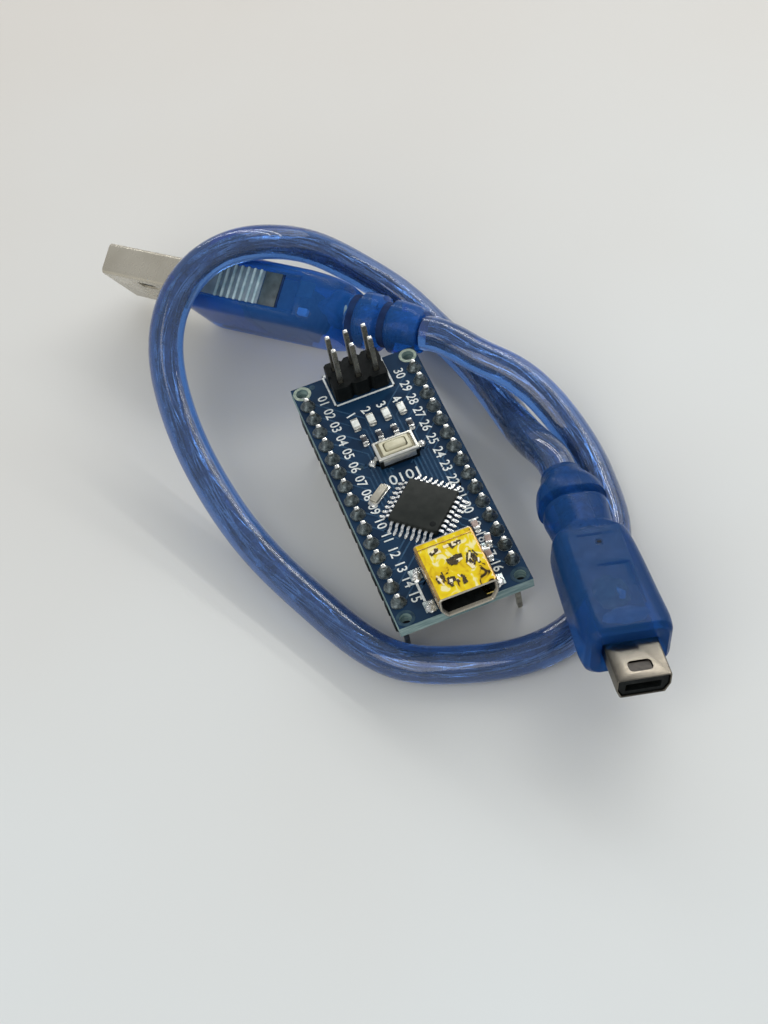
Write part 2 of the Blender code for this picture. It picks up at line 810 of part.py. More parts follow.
def natural_spline(points):
    """The second derivatives of a natural cubic spline through points, at chord-length knots."""
    knots = [0.0]
    for first, second in zip(points, points[1:]):
        knots.append(knots[-1] + (second - first).length)
    count = len(points)
    bends = [Vector((0, 0, 0)) for _ in points]
    upper = [0.0] * count
    for i in range(1, count - 1):
        before = knots[i] - knots[i - 1]
        after = knots[i + 1] - knots[i]
        slope_after = (points[i + 1] - points[i]) / after
        slope_before = (points[i] - points[i - 1]) / before
        right_side = 6 * (slope_after - slope_before)
        pivot = 2 * (before + after) - before * upper[i - 1]
        upper[i] = after / pivot
        bends[i] = (right_side - before * bends[i - 1]) / pivot
    for i in range(count - 2, 0, -1):
        bends[i] = bends[i] - upper[i] * bends[i + 1]
    return knots, bends


def spline_point(points, knots, bends, distance):
    i = max(k for k in range(len(knots) - 1) if knots[k] <= distance)
    span = knots[i + 1] - knots[i]
    a = (knots[i + 1] - distance) / span
    b = 1 - a
    bow = ((a**3 - a) * bends[i] + (b**3 - b) * bends[i + 1]) * span**2 / 6
    return a * points[i] + b * points[i + 1] + bow


def plug_axis_point(frame, y):
    return frame.matrix_world @ Vector((0, y * MM, 0)) / MM


def build_cable(frame_a, frame_mini):
    """The cable from one strain relief to the other, straight out of each before it bends."""
    end_a = PLUG_A_LENGTH + JOINT_GAP
    end_mini = PLUG_MINI_LENGTH + JOINT_GAP
    route = [
        plug_axis_point(frame_a, end_a),
        plug_axis_point(frame_a, end_a + CABLE_STRAIGHT),
        *[Vector(point) for point in CABLE_ROUTE],
        plug_axis_point(frame_mini, end_mini + CABLE_STRAIGHT),
        plug_axis_point(frame_mini, end_mini),
    ]
    knots, bends = natural_spline(route)
    count = round(knots[-1] / CABLE_STEP)
    curve = bpy.data.curves.new("usb_cable", "CURVE")
    curve.dimensions = "3D"
    curve.bevel_depth = CABLE_DIAMETER / 2 * MM
    curve.bevel_resolution = 4
    curve.use_fill_caps = True
    spline = curve.splines.new("POLY")
    spline.points.add(count)
    for index, point in enumerate(spline.points):
        place = spline_point(route, knots, bends, knots[-1] * index / count)
        point.co = (*(place * MM), 1)
    cable = mesh_object("usb_cable", welded_mesh("usb_cable", curve), "cable", PARTS)
    smooth(cable)


build_board()
build_side_headers()
build_program_header()
build_socket()
build_chip()
build_switch()
build_small_parts()
PLUG_A_FRAME = plug_frame("usb_a_plug", PLUG_A_MOUTH, PLUG_A_TURN)
PLUG_MINI_FRAME = plug_frame("usb_mini_plug", PLUG_MINI_MOUTH, PLUG_MINI_TURN)
build_plug_a(PLUG_A_FRAME)
build_plug_mini(PLUG_MINI_FRAME)
build_cable(PLUG_A_FRAME, PLUG_MINI_FRAME)
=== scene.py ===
"""The looks of a small microcontroller board and its looped USB cable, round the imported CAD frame.

Shapes are worked out in millimetres, in the frame's own axes, and a finished mesh is in metres.
"""

import math
import random

import bmesh
import bpy
import numpy as np
from mathutils import Euler, Matrix, Vector, noise


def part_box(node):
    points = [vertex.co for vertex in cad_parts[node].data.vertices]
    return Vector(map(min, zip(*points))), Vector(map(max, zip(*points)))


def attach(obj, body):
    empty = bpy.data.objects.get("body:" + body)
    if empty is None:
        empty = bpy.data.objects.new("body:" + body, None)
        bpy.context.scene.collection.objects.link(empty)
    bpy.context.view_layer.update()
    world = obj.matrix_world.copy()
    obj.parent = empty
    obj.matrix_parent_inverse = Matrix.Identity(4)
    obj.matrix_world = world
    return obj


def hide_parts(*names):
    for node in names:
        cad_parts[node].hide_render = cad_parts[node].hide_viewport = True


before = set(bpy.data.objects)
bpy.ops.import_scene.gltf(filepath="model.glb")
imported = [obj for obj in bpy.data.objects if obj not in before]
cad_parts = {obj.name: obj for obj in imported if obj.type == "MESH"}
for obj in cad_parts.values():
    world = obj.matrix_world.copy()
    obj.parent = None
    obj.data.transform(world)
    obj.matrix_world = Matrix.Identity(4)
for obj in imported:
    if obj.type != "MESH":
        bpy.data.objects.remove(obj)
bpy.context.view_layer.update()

MM = 0.001

# The camera, at the photograph's angle.
CAMERA_TARGET = (-4.408, -3.018, 10.1)
CAMERA_DISTANCE = 280.687
CAMERA_AZIMUTH = -9.603
CAMERA_ELEVATION = 51.265
CAMERA_ROLL = -13.058
FOCAL_LENGTH = 77.09
SENSOR = 36.0

# The plugs and the cable, as the CAD has them. A plug's own frame starts in the middle of its mouth,
# with +Y towards its cable. Its turn is a lean about Y, then a rise about X, then a heading about Z.
PLUG_A_MOUTH = (-23.3, 57.9, 7.5)
PLUG_A_TURN = (-62.8, 2.2, -134.1)
PLUG_A_LENGTH = 48.0
PLUG_A_EXPOSED = 12.8
PLUG_MINI_MOUTH = (14.4, -42.3, 11.6)
PLUG_MINI_TURN = (10.5, -5.4, -6.7)
PLUG_MINI_LENGTH = 36.2
PLUG_MINI_EXPOSED = 5.8
JOINT_GAP = 0.3
CABLE_STRAIGHT = 2.0
CABLE_DIAMETER = 4.8
CABLE_ROUTE = [
    (16.4, 17.6, 8.9), (19.7, 13.6, 7.9), (22.2, 9.2, 6.2), (23.7, 4.2, 4.2),
    (24.3, -1.0, 2.8), (23.9, -6.5, 2.5), (22.9, -12.0, 2.5), (20.4, -17.3, 2.5),
    (17.0, -21.8, 2.5), (12.8, -24.9, 2.5), (7.8, -26.2, 2.5), (2.5, -25.8, 2.5),
    (-3.2, -23.9, 2.5), (-9.2, -20.6, 2.5), (-13.5, -14.6, 2.5), (-16.5, -7.6, 2.6),
    (-19.2, -0.8, 3.0), (-21.4, 6.0, 3.8), (-23.0, 13.5, 5.2), (-23.9, 21.0, 7.4),
    (-23.8, 28.0, 10.4), (-22.4, 34.0, 13.8), (-19.2, 38.5, 16.9), (-14.5, 41.2, 19.0),
    (-8.8, 42.1, 19.6), (-3.0, 42.3, 17.6), (2.9, 42.7, 12.7), (7.8, 40.4, 8.0),
    (11.6, 36.5, 4.8), (13.9, 31.5, 3.0), (15.6, 26.0, 2.5), (16.9, 20.0, 2.5),
    (17.6, 14.2, 2.6), (17.9, 8.6, 3.5), (18.3, 2.3, 5.8),
]


# ---------------------------------------------------------------- places read from the CAD frame


def cad_box(node):
    low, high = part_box(node)
    return low / MM, high / MM


def cad_middle(node):
    low, high = cad_box(node)
    return (low + high) / 2


PITCH = 2.54
PINS_PER_ROW = 15
BOARD_LOW, BOARD_HIGH = cad_box("circuit_board")
BOARD_TOP = BOARD_HIGH.z
BOARD_UNDER = BOARD_LOW.z
BOARD_Y = (BOARD_LOW.y + BOARD_HIGH.y) / 2
ROW_X = cad_middle("right_header_pin_01").x
ROWS = {"left": -ROW_X, "right": ROW_X}


def row_y(index):
    return BOARD_Y + PITCH * ((PINS_PER_ROW - 1) / 2 - index)


# ---------------------------------------------------------------- finishes


FINISHES = {}


class Finish:
    """A Principled material, kept in FINISHES, whose sockets take numbers or procedural nodes."""

    def __init__(self, name, **sockets):
        FINISHES[name] = material = bpy.data.materials.new(name)
        material.use_nodes = True
        self.tree = material.node_tree
        self.shader = self.tree.nodes["Principled BSDF"]
        self.place = self.node("TexCoord").outputs["Object"]
        self.set(**sockets)

    def set(self, **sockets):
        """Feeds shader sockets, named as Blender names them with _ for a space."""
        for name, value in sockets.items():
            self.feed(self.shader.inputs[name.replace("_", " ")], value)

    def feed(self, socket, value):
        if isinstance(value, bpy.types.NodeSocket):
            self.tree.links.new(value, socket)
        elif socket.type == "RGBA":
            socket.default_value = (*value, 1.0)
        else:
            socket.default_value = value

    def node(self, kind, inputs=None, **settings):
        node = self.tree.nodes.new("ShaderNode" + kind)
        for name, value in settings.items():
            setattr(node, name, value)
        for name, value in (inputs or {}).items():
            self.feed(node.inputs[name], value)
        return node

    def grain(self, size, stretch=(1, 1, 1), detail=3.0, distortion=0.0):
        """Soft random patches about size millimetres across, as a number round 0.5."""
        scale = [1 / (size * MM * part) for part in stretch]
        place = self.node("Mapping", {"Vector": self.place, "Scale": scale}).outputs["Vector"]
        inputs = {"Vector": place, "Scale": 1.0, "Detail": detail, "Distortion": distortion}
        return self.node("TexNoise", inputs).outputs["Fac"]

    def ramp(self, factor, stops):
        """Colours along a factor, as (place, colour) stops."""
        node = self.node("ValToRGB", {"Fac": factor})
        elements = node.color_ramp.elements
        while len(elements) < len(stops):
            elements.new(0.5)
        for element, (position, color) in zip(elements, stops):
            element.position = position
            element.color = (*color, 1.0)
        return node.outputs["Color"]

    def spread(self, factor, low, high, start=0.35, end=0.65):
        """A number from low to high as the factor goes from start to end."""
        inputs = {"Value": factor, "From Min": start, "From Max": end, "To Min": low, "To Max": high}
        return self.node("MapRange", inputs).outputs["Result"]

    def mix(self, factor, first, second):
        node = self.node("Mix", data_type="RGBA")
        self.feed(node.inputs[0], factor)
        self.feed(node.inputs[6], first)
        self.feed(node.inputs[7], second)
        return node.outputs[2]

    def math(self, operation, first, second=0.0):
        node = self.node("Math", operation=operation)
        self.feed(node.inputs[0], first)
        self.feed(node.inputs[1], second)
        return node.outputs[0]

    def bump(self, height, depth, strength=0.5):
        """Relief of a depth in millimetres."""
        inputs = {"Height": height, "Distance": depth * MM, "Strength": strength}
        self.set(Normal=self.node("Bump", inputs).outputs["Normal"])


def mottled(name, dark, light, size, roughness, relief=0.02, fine=None, **sockets):
    """A finish that drifts between two colours and two gloss levels, with a fine relief."""
    finish = Finish(name, **sockets)
    patches = finish.grain(size)
    finish.set(
        Base_Color=finish.ramp(patches, [(0.32, dark), (0.68, light)]),
        Roughness=finish.spread(finish.grain(size * 0.4), *roughness),
    )
    finish.bump(finish.grain(fine or size * 0.12, detail=4.0), relief)


def board_finish():
    """Dark blue mask on both faces, and pale glass fibre where the board is cut."""
    finish = Finish("mask", Specular_IOR_Level=0.22)
    normal = finish.node("NewGeometry").outputs["Normal"]
    height = finish.node("SeparateXYZ", {"Vector": normal}).outputs["Z"]
    on_face = finish.math("GREATER_THAN", finish.math("ABSOLUTE", height), 0.5)
    pour = finish.grain(5.0, detail=1.0)
    mask = finish.ramp(pour, [(0.44, (0.006, 0.023, 0.055)), (0.5, (0.009, 0.033, 0.075))])
    fibre_grain = finish.grain(0.5, stretch=(4, 4, 0.5))
    fibre = finish.ramp(fibre_grain, [(0.3, (0.12, 0.20, 0.20)), (0.7, (0.33, 0.44, 0.42))])
    finish.set(
        Base_Color=finish.mix(on_face, fibre, mask),
        Roughness=finish.spread(on_face, 0.75, 0.2, 0.0, 1.0),
    )
    finish.bump(finish.grain(1.2), 0.008, 0.3)


def tape_finish():
    """Glossy amber film over metal, creased, with painted reflections: dark and pale patches where the
    creases would mirror dark and bright surroundings.
    """
    finish = Finish("tape", Metallic=0.15, Specular_IOR_Level=0.4)
    painted_reflections = finish.grain(2.1, stretch=(0.8, 1.15, 1.0), detail=1.5, distortion=1.4)
    stops = [
        (0.33, (0.030, 0.018, 0.003)),
        (0.36, (0.66, 0.42, 0.004)),
        (0.45, (0.80, 0.56, 0.005)),
        (0.60, (0.88, 0.68, 0.010)),
        (0.65, (0.93, 0.84, 0.40)),
    ]
    finish.set(
        Base_Color=finish.ramp(painted_reflections, stops),
        Roughness=finish.spread(finish.grain(0.7), 0.14, 0.26),
    )
    finish.bump(finish.grain(1.6, detail=1.0), 0.05)


def clear_finish(name, absorb, roughness, relief, size, clarity, milk, coat, bend=1.5):
    """Clear tinted vinyl. Absorb is how much red, green and blue it takes in, per millimetre, and
    milk is the colour of the cloudy share that clarity leaves."""
    density = max(absorb)
    finish = Finish(
        name,
        Base_Color=milk,
        IOR=bend,
        Transmission_Weight=clarity,
        Coat_Weight=coat,
        Coat_Roughness=0.04,
    )
    finish.set(Roughness=finish.spread(finish.grain(size), *roughness))
    finish.bump(finish.grain(size), relief)
    tint = finish.node("VolumeAbsorption")
    finish.feed(tint.inputs["Color"], [1 - part / density for part in absorb])
    finish.feed(tint.inputs["Density"], density / MM)
    output = finish.tree.nodes["Material Output"]
    finish.feed(output.inputs["Volume"], tint.outputs["Volume"])


def nickel_with_painted_shade(name, dark, light, start, end):
    """Drawn nickel with painted shade: it darkens from one place to another along Y, in millimetres, where a
    moulding shades it.
    """
    finish = Finish(name, Metallic=1.0)
    grey = finish.ramp(finish.grain(4.0), [(0.3, dark), (0.7, light)])
    along = finish.node("SeparateXYZ", {"Vector": finish.place}).outputs["Y"]
    painted_shade = finish.spread(along, 0.0, 0.8, start * MM, end * MM)
    finish.set(
        Base_Color=finish.mix(painted_shade, grey, (0.03, 0.035, 0.035)),
        Roughness=finish.spread(finish.grain(1.0), 0.2, 0.27),
    )
    finish.bump(finish.grain(4.0), 0.003, 0.3)


def table_finish():
    """A pale satin table with painted light: warmer and a little darker at its far side and cooler at its
    near side, as warm lamps behind and a cool sky in front would tint it.
    """
    finish = Finish("table", Roughness=0.45)
    far = finish.node("SeparateXYZ", {"Vector": finish.place}).outputs["Y"]
    drift = finish.math("ADD", far, finish.spread(finish.grain(90.0), -0.03, 0.03))
    share = finish.spread(drift, 0.0, 1.0, -0.16, 0.16)
    finish.set(Base_Color=finish.ramp(share, [(0.0, (0.73, 0.785, 0.795)), (1.0, (0.65, 0.615, 0.56))]))
    finish.bump(finish.grain(1.5, detail=4.0), 0.02, 0.3)


board_finish()
mottled("ring", (0.008, 0.03, 0.055), (0.03, 0.07, 0.10), 0.8, (0.35, 0.5), 0.03, Specular_IOR_Level=0.2)
mottled("ring_green", (0.20, 0.27, 0.22), (0.42, 0.48, 0.38), 0.6, (0.3, 0.5), 0.05, Metallic=0.3)
mottled("trace", (0.014, 0.048, 0.10), (0.03, 0.08, 0.15), 1.5, (0.2, 0.3), Specular_IOR_Level=0.25)
mottled("silk", (0.55, 0.60, 0.59), (0.86, 0.89, 0.87), 0.5, (0.5, 0.7), 0.01)
mottled("pad", (0.34, 0.42, 0.42), (0.62, 0.68, 0.66), 0.7, (0.25, 0.45), 0.03, Metallic=0.8)
mottled("solder", (0.045, 0.06, 0.065), (0.27, 0.31, 0.31), 0.8, (0.18, 0.4), 0.08, Metallic=0.85)
mottled("bright_solder", (0.62, 0.62, 0.58), (0.92, 0.92, 0.88), 0.5, (0.12, 0.3), 0.12, 0.25, Metallic=0.9)
mottled("pin", (0.20, 0.195, 0.17), (0.48, 0.46, 0.38), 0.8, (0.25, 0.4), Metallic=0.95)
# A brighter copy of the pin metal for the pins' cut tops: a painted highlight.
mottled("pin_tip_painted_highlight", (0.70, 0.69, 0.64), (0.95, 0.94, 0.88), 0.3, (0.15, 0.3), 0.02, Metallic=0.9)
mottled("lead", (0.60, 0.61, 0.60), (0.92, 0.93, 0.92), 0.4, (0.2, 0.35), 0.03, Metallic=0.9)
mottled("black", (0.003, 0.004, 0.004), (0.008, 0.010, 0.010), 0.8, (0.4, 0.6), 0.02, Specular_IOR_Level=0.12)
mottled("chip", (0.013, 0.016, 0.014), (0.022, 0.025, 0.022), 1.6, (0.42, 0.55), 0.01, Specular_IOR_Level=0.2)
mottled("nickel", (0.48, 0.44, 0.355), (0.54, 0.50, 0.41), 4.0, (0.22, 0.3), 0.003, 0.3, Metallic=0.5)
# The mini plug's nickel is painted darker than the A plug's as painted shade, and it darkens further as
# painted shade up to its moulding.
nickel_with_painted_shade("nickel_mini_painted_shade", (0.155, 0.14, 0.115), (0.195, 0.177, 0.146), -40.4, -36.8)
mottled("steel", (0.70, 0.69, 0.62), (0.84, 0.83, 0.76), 1.5, (0.3, 0.4), 0.003, Metallic=0.85)
mottled("can", (0.38, 0.36, 0.29), (0.50, 0.47, 0.39), 1.5, (0.35, 0.45), 0.003, Metallic=0.7)
mottled("cream", (0.55, 0.52, 0.36), (0.68, 0.65, 0.48), 1.2, (0.28, 0.42), 0.02)
mottled("trough", (0.20, 0.18, 0.115), (0.30, 0.275, 0.19), 0.8, (0.35, 0.5), 0.01, Metallic=0.4)
mottled("latch", (0.06, 0.052, 0.044), (0.11, 0.095, 0.08), 0.8, (0.4, 0.55), 0.01, Specular_IOR_Level=0.3)
mottled("led", (0.70, 0.74, 0.68), (0.93, 0.95, 0.90), 0.5, (0.2, 0.35), 0.03)
mottled("led_end", (0.36, 0.36, 0.32), (0.80, 0.80, 0.74), 0.35, (0.2, 0.4), 0.06, Metallic=0.7)
mottled("resistor", (0.012, 0.014, 0.02), (0.03, 0.035, 0.045), 0.4, (0.25, 0.4), 0.02)
mottled("capacitor", (0.30, 0.21, 0.17), (0.48, 0.38, 0.34), 0.5, (0.35, 0.5), 0.02)
mottled("white_plastic", (0.62, 0.62, 0.60), (0.78, 0.78, 0.75), 2.0, (0.35, 0.5), 0.02)
mottled("gold", (0.62, 0.42, 0.08), (0.92, 0.72, 0.22), 0.6, (0.15, 0.3), 0.02, Metallic=1.0)
tape_finish()
# Painted reflections for the socket's film: a dark one and a pale one.
mottled("painted_reflection_dark", (0.02, 0.013, 0.004), (0.07, 0.045, 0.01), 0.5, (0.15, 0.3), 0.03)
mottled("painted_reflection_pale", (0.80, 0.66, 0.30), (0.95, 0.90, 0.74), 0.5, (0.2, 0.4), 0.03)
mottled(
    "tape_side", (0.36, 0.19, 0.03), (0.66, 0.42, 0.10), 0.9, (0.15, 0.3), 0.08, 0.8,
    Metallic=0.5, Coat_Weight=0.6,
)
clear_finish("jacket", (0.20, 0.10, 0.03), (0.02, 0.05), 0.006, 2.2, 0.87, (0.22, 0.38, 0.74), 0.2)
clear_finish("moulding_a", (0.30, 0.10, 0.04), (0.04, 0.08), 0.01, 4.0, 0.74, (0.055, 0.24, 0.74), 0.05, 1.15)
clear_finish(
    "moulding_mini", (0.22, 0.09, 0.03), (0.18, 0.26), 0.006, 3.0, 0.72, (0.03, 0.145, 0.44), 0.0, 1.16
)
mottled("braid", (0.08, 0.12, 0.21), (0.93, 0.96, 1.0), 3.0, (0.15, 0.35), 0.03, 0.3, Metallic=0.8)
mottled("core", (0.012, 0.035, 0.09), (0.13, 0.20, 0.34), 1.3, (0.25, 0.45), 0.08, 0.6, Metallic=0.4)
mottled("inner_pale", (0.085, 0.14, 0.19), (0.16, 0.23, 0.29), 2.0, (0.3, 0.5), 0.03)
mottled("inner_mist", (0.08, 0.16, 0.22), (0.20, 0.32, 0.38), 2.0, (0.4, 0.6), 0.03)
mottled("inner_olive", (0.06, 0.08, 0.03), (0.16, 0.18, 0.09), 1.0, (0.4, 0.6), 0.05)
# Painted shade: dark strips and rings seen through the mouldings, in their grooves and steps.
mottled("painted_groove_shade", (0.008, 0.02, 0.07), (0.015, 0.04, 0.12), 1.6, (0.6, 0.7), 0.03, Specular_IOR_Level=0.1)
mottled("inner_dark", (0.02, 0.035, 0.045), (0.06, 0.09, 0.105), 1.4, (0.3, 0.5), 0.05)
# A painted glint inside the A plug's moulding.
mottled("painted_glint", (0.40, 0.68, 0.80), (0.62, 0.86, 0.95), 1.2, (0.3, 0.5), 0.03)
mottled("inner_teal", (0.22, 0.36, 0.42), (0.44, 0.58, 0.62), 1.2, (0.3, 0.5), 0.05)
table_finish()


# ---------------------------------------------------------------- shapes


def placed(x=0.0, y=0.0, z=0.0, turn=0.0):
    return Matrix.Translation((x, y, z)) @ Matrix.Rotation(math.radians(turn), 4, "Z")


def plug_place(mouth, turn):
    lean, rise, heading = (math.radians(angle) for angle in turn)
    return Matrix.Translation(mouth) @ Euler((rise, lean, heading), "YXZ").to_matrix().to_4x4()


PLUG_A = plug_place(PLUG_A_MOUTH, PLUG_A_TURN)
PLUG_MINI = plug_place(PLUG_MINI_MOUTH, PLUG_MINI_TURN)


def skin(rings, closed=False):
    """A skin through rings of points, with its ends filled, or joined end to end when closed."""
    bm = bmesh.new()
    rows = [[bm.verts.new(point) for point in ring] for ring in rings]
    count = len(rows[0])
    pairs = list(zip(rows, rows[1:]))
    if closed:
        pairs.append((rows[-1], rows[0]))
    else:
        bm.faces.new(rows[0])
        bm.faces.new(rows[-1])
    for first, second in pairs:
        for index in range(count):
            after = (index + 1) % count
            bm.faces.new((first[index], first[after], second[after], second[index]))
    bmesh.ops.recalc_face_normals(bm, faces=bm.faces)
    return bm


def sheet(rows):
    """An open sheet through rows of points."""
    bm = bmesh.new()
    rows = [[bm.verts.new(point) for point in row] for row in rows]
    for first, second in zip(rows, rows[1:]):
        for index in range(len(first) - 1):
            bm.faces.new((first[index], first[index + 1], second[index + 1], second[index]))
    return bm


def block(size, bevel=0.0, segments=2, at=None):
    """A block with rounded edges, about the origin or a place."""
    bm = bmesh.new()
    bmesh.ops.create_cube(bm, size=1.0)
    bmesh.ops.scale(bm, vec=size, verts=bm.verts)
    if bevel:
        bmesh.ops.bevel(
            bm, geom=bm.edges[:], offset=bevel, segments=segments, affect="EDGES", profile=0.5
        )
    if at:
        bm.transform(Matrix.Translation(at))
    return bm


def circle(sides):
    """The cosine and the sine at even steps round a circle."""
    angles = [2 * math.pi * step / sides for step in range(sides)]
    return [(math.cos(angle), math.sin(angle)) for angle in angles]


def turned(profile, sides=20, closed=False):
    """A solid turned about Z from (radius, z) points. A closed profile stands clear of the axis."""
    return skin([[(radius * c, radius * s, z) for c, s in circle(sides)] for radius, z in profile], closed)


ACROSS = (1, 0, 0)
ALONG = (0, 1, 0)


def way_ahead(points, index):
    """The direction of a line at one of its points."""
    return (points[min(index + 1, len(points) - 1)] - points[max(index - 1, 0)]).normalized()


def oblong(middle, half, rise):
    """The corners of an oblong, from its middle and half of its width and of its height."""
    return [middle - half - rise, middle + half - rise, middle + half + rise, middle - half + rise]


def ribbon(points, width, thickness, across=None):
    """A flat strip along points. Its width runs along across, or level when across isn't given."""
    points = [Vector(point) for point in points]
    rings = []
    for index, point in enumerate(points):
        ahead = way_ahead(points, index)
        side = Vector(across) if across else Vector((-ahead.y, ahead.x, 0)).normalized()
        up = ahead.cross(side).normalized()
        rings.append(oblong(point, side * width / 2, up * thickness / 2))
    return skin(rings)


def blob(size, seed, rough):
    """A lump of solder, rounded and uneven."""
    bm = bmesh.new()
    bmesh.ops.create_icosphere(bm, subdivisions=3, radius=0.5)
    for vertex in bm.verts:
        push = noise.noise(vertex.co * 3.0 + Vector((seed * 7.3, seed * 3.1, seed)))
        vertex.co *= 1 + rough * push
    bmesh.ops.scale(bm, vec=size, verts=bm.verts)
    return bm


def travel_frames(points):
    """Each point of a line with two directions across it, which never twist suddenly."""
    frames = []
    across = None
    for index, point in enumerate(points):
        ahead = way_ahead(points, index)
        if across is None:
            across = ahead.orthogonal()
        across = (across - ahead * across.dot(ahead)).normalized()
        frames.append((point, across, ahead.cross(across)))
    return frames


def tube(frames, radius, sides):
    """A round tube along travel frames."""
    rings = []
    for point, across, up in frames:
        rings.append([point + (across * c + up * s) * radius for c, s in circle(sides)])
    return skin(rings)


def strand(frames, distance, start, turn_length, width, thickness):
    """One flat wire wound round a line at a distance, turning once in turn_length millimetres."""
    rings = []
    angle = start
    before = frames[0][0]
    for point, across, up in frames:
        angle += 2 * math.pi * (point - before).length / turn_length
        before = point
        wander = angle + 0.22 * noise.noise(point * 0.16 + Vector((start * 3, turn_length, 0)))
        out = across * math.cos(wander) + up * math.sin(wander)
        side = up * math.cos(wander) - across * math.sin(wander)
        lift = 0.09 * noise.noise(point * 0.5 + Vector((0, start * 5, width * 9)))
        middle = point + out * (distance + lift)
        rings.append(oblong(middle, side * width / 2, out * thickness / 2))
    return skin(rings)


def rounded_outline(corners, radius, steps=5):
    """A closed outline through corners, each rounded to a radius."""
    points = []
    count = len(corners)
    for index, corner in enumerate(corners):
        here = Vector(corner)
        to_before = (Vector(corners[index - 1]) - here).normalized()
        to_after = (Vector(corners[(index + 1) % count]) - here).normalized()
        half = to_before.angle(to_after) / 2
        reach = radius / math.tan(half)
        middle = here + (to_before + to_after).normalized() * radius / math.sin(half)
        start = here + to_before * reach - middle
        end = here + to_after * reach - middle
        for step in range(steps + 1):
            share = step / steps
            points.append(middle + start.slerp(end, share).normalized() * radius)
    return points


def upright(points, y):
    """Points of an XZ outline, at a place along Y."""
    return [(x, y, z) for x, z in points]


def pipe(outer, inner, low, high, rim):
    """A sheet metal sleeve along Y between two XZ outlines, with its front edge rounded."""
    middle = [(a + b) / 2 for a, b in zip(outer, inner)]
    near_outer = [a.lerp(m, 0.35) for a, m in zip(outer, middle)]
    near_inner = [b.lerp(m, 0.35) for b, m in zip(inner, middle)]
    rings = [
        upright(outer, high),
        upright(outer, low + rim),
        upright(near_outer, low + rim * 0.3),
        upright(middle, low),
        upright(near_inner, low + rim * 0.3),
        upright(inner, low + rim),
        upright(inner, high),
    ]
    return skin(rings, closed=True)


def mesh_from(bm, name):
    mesh = bpy.data.meshes.new(name)
    bm.to_mesh(mesh)
    bm.free()
    return mesh


def linked(name, data):
    """A new object in the scene."""
    item = bpy.data.objects.new(name, data)
    bpy.context.scene.collection.objects.link(item)
    return item


def evaluated(item, *helpers):
    """The shape that an object comes to. The object and its helpers are removed."""
    depsgraph = bpy.context.evaluated_depsgraph_get()
    mesh = bpy.data.meshes.new_from_object(item.evaluated_get(depsgraph))
    result = bmesh.new()
    result.from_mesh(mesh)
    for used in (item, *helpers):
        bpy.data.objects.remove(used, do_unlink=True)
    return result


def carved(body, cutter):
    """The body with the cutter taken off it."""
    kept, taken = (linked("carving", mesh_from(bm, "carving")) for bm in (body, cutter))
    step = kept.modifiers.new("cut", "BOOLEAN")
    step.operation = "DIFFERENCE"
    step.object = taken
    return evaluated(kept, taken)


def lettering(text, size):
    """Flat raised numbers, centred."""
    curve = bpy.data.curves.new("number", "FONT")
    curve.body = text
    curve.size = size
    curve.align_x = "CENTER"
    curve.align_y = "CENTER"
    curve.extrude = 0.012
    curve.offset = 0.015
    curve.resolution_u = 3
    return evaluated(linked("number", curve))


def rounded_ring(half_x, half_z, corner, y, turns=8, flats=8):
    """Points round a rounded rectangle at a place along Y, closely spaced on its flats too."""
    points = []
    arcs = []
    for sign_x, sign_z, start in ((1, 1, 0), (-1, 1, 90), (-1, -1, 180), (1, -1, 270)):
        arc = []
        for step in range(turns + 1):
            angle = math.radians(start + 90 * step / turns)
            x = sign_x * (half_x - corner) + corner * math.cos(angle)
            z = sign_z * (half_z - corner) + corner * math.sin(angle)
            arc.append(Vector((x, y, z)))
        arcs.append(arc)
    for index, arc in enumerate(arcs):
        points += arc
        after = arcs[(index + 1) % len(arcs)][0]
        points += [arc[-1].lerp(after, step / flats) for step in range(1, flats)]
    return points


def level_ring(half_x, half_y, corner, z, turns, flats):
    """Points round a level rounded rectangle."""
    return [(p.x, p.z, z) for p in rounded_ring(half_x, half_y, corner, 0, turns, flats)]


def smooth_curve(knots, values, places):
    """Values at places along a smooth curve through the knots that never swings past them."""
    knots = np.array(knots)
    values = np.array(values)
    spans = np.diff(knots)
    slopes = np.diff(values) / spans
    bends = np.zeros(len(knots))
    for index in range(1, len(knots) - 1):
        before, after = slopes[index - 1], slopes[index]
        if before * after > 0:
            bends[index] = 2 * before * after / (before + after)
    index = np.clip(np.searchsorted(knots, places, side="right") - 1, 0, len(spans) - 1)
    t = (places - knots[index]) / spans[index]
    ends = (1 + 2 * t) * (1 - t) ** 2 * values[index] + t**2 * (3 - 2 * t) * values[index + 1]
    bows = t * (1 - t) ** 2 * bends[index] - t**2 * (1 - t) * bends[index + 1]
    return ends + bows * spans[index]


class Piece:
    """Separate solids gathered into one mesh, each with its own place and finish."""

    def __init__(self, name, *finishes):
        self.name = name
        self.finishes = finishes
        self.bm = bmesh.new()

    def add(self, part, place=None, finish=0):
        for face in part.faces:
            face.material_index = finish
        if place:
            part.transform(place)
        mesh = mesh_from(part, "part")
        self.bm.from_mesh(mesh)
        bpy.data.meshes.remove(mesh)

    def box(self, size, middle, bevel=0.0, finish=0):
        self.add(block(size, bevel), placed(*middle), finish)

    def mesh(self, angle, place=None):
        """The finished mesh, in metres."""
        mesh = mesh_from(self.bm, self.name)
        if place:
            mesh.transform(place)
        mesh.transform(Matrix.Scale(MM, 4))
        for finish in self.finishes:
            mesh.materials.append(FINISHES[finish])
        mesh.shade_smooth()
        mesh.set_sharp_from_angle(angle=math.radians(angle))
        return mesh

    def done(self, replaces=(), body="board", place=None, angle=35.0):
        """The finished object, riding on its body."""
        return settled(linked(self.name, self.mesh(angle, place)), replaces, body)


def settled(item, replaces, body="board"):
    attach(item, body)
    if replaces:
        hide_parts(*replaces)
    return item


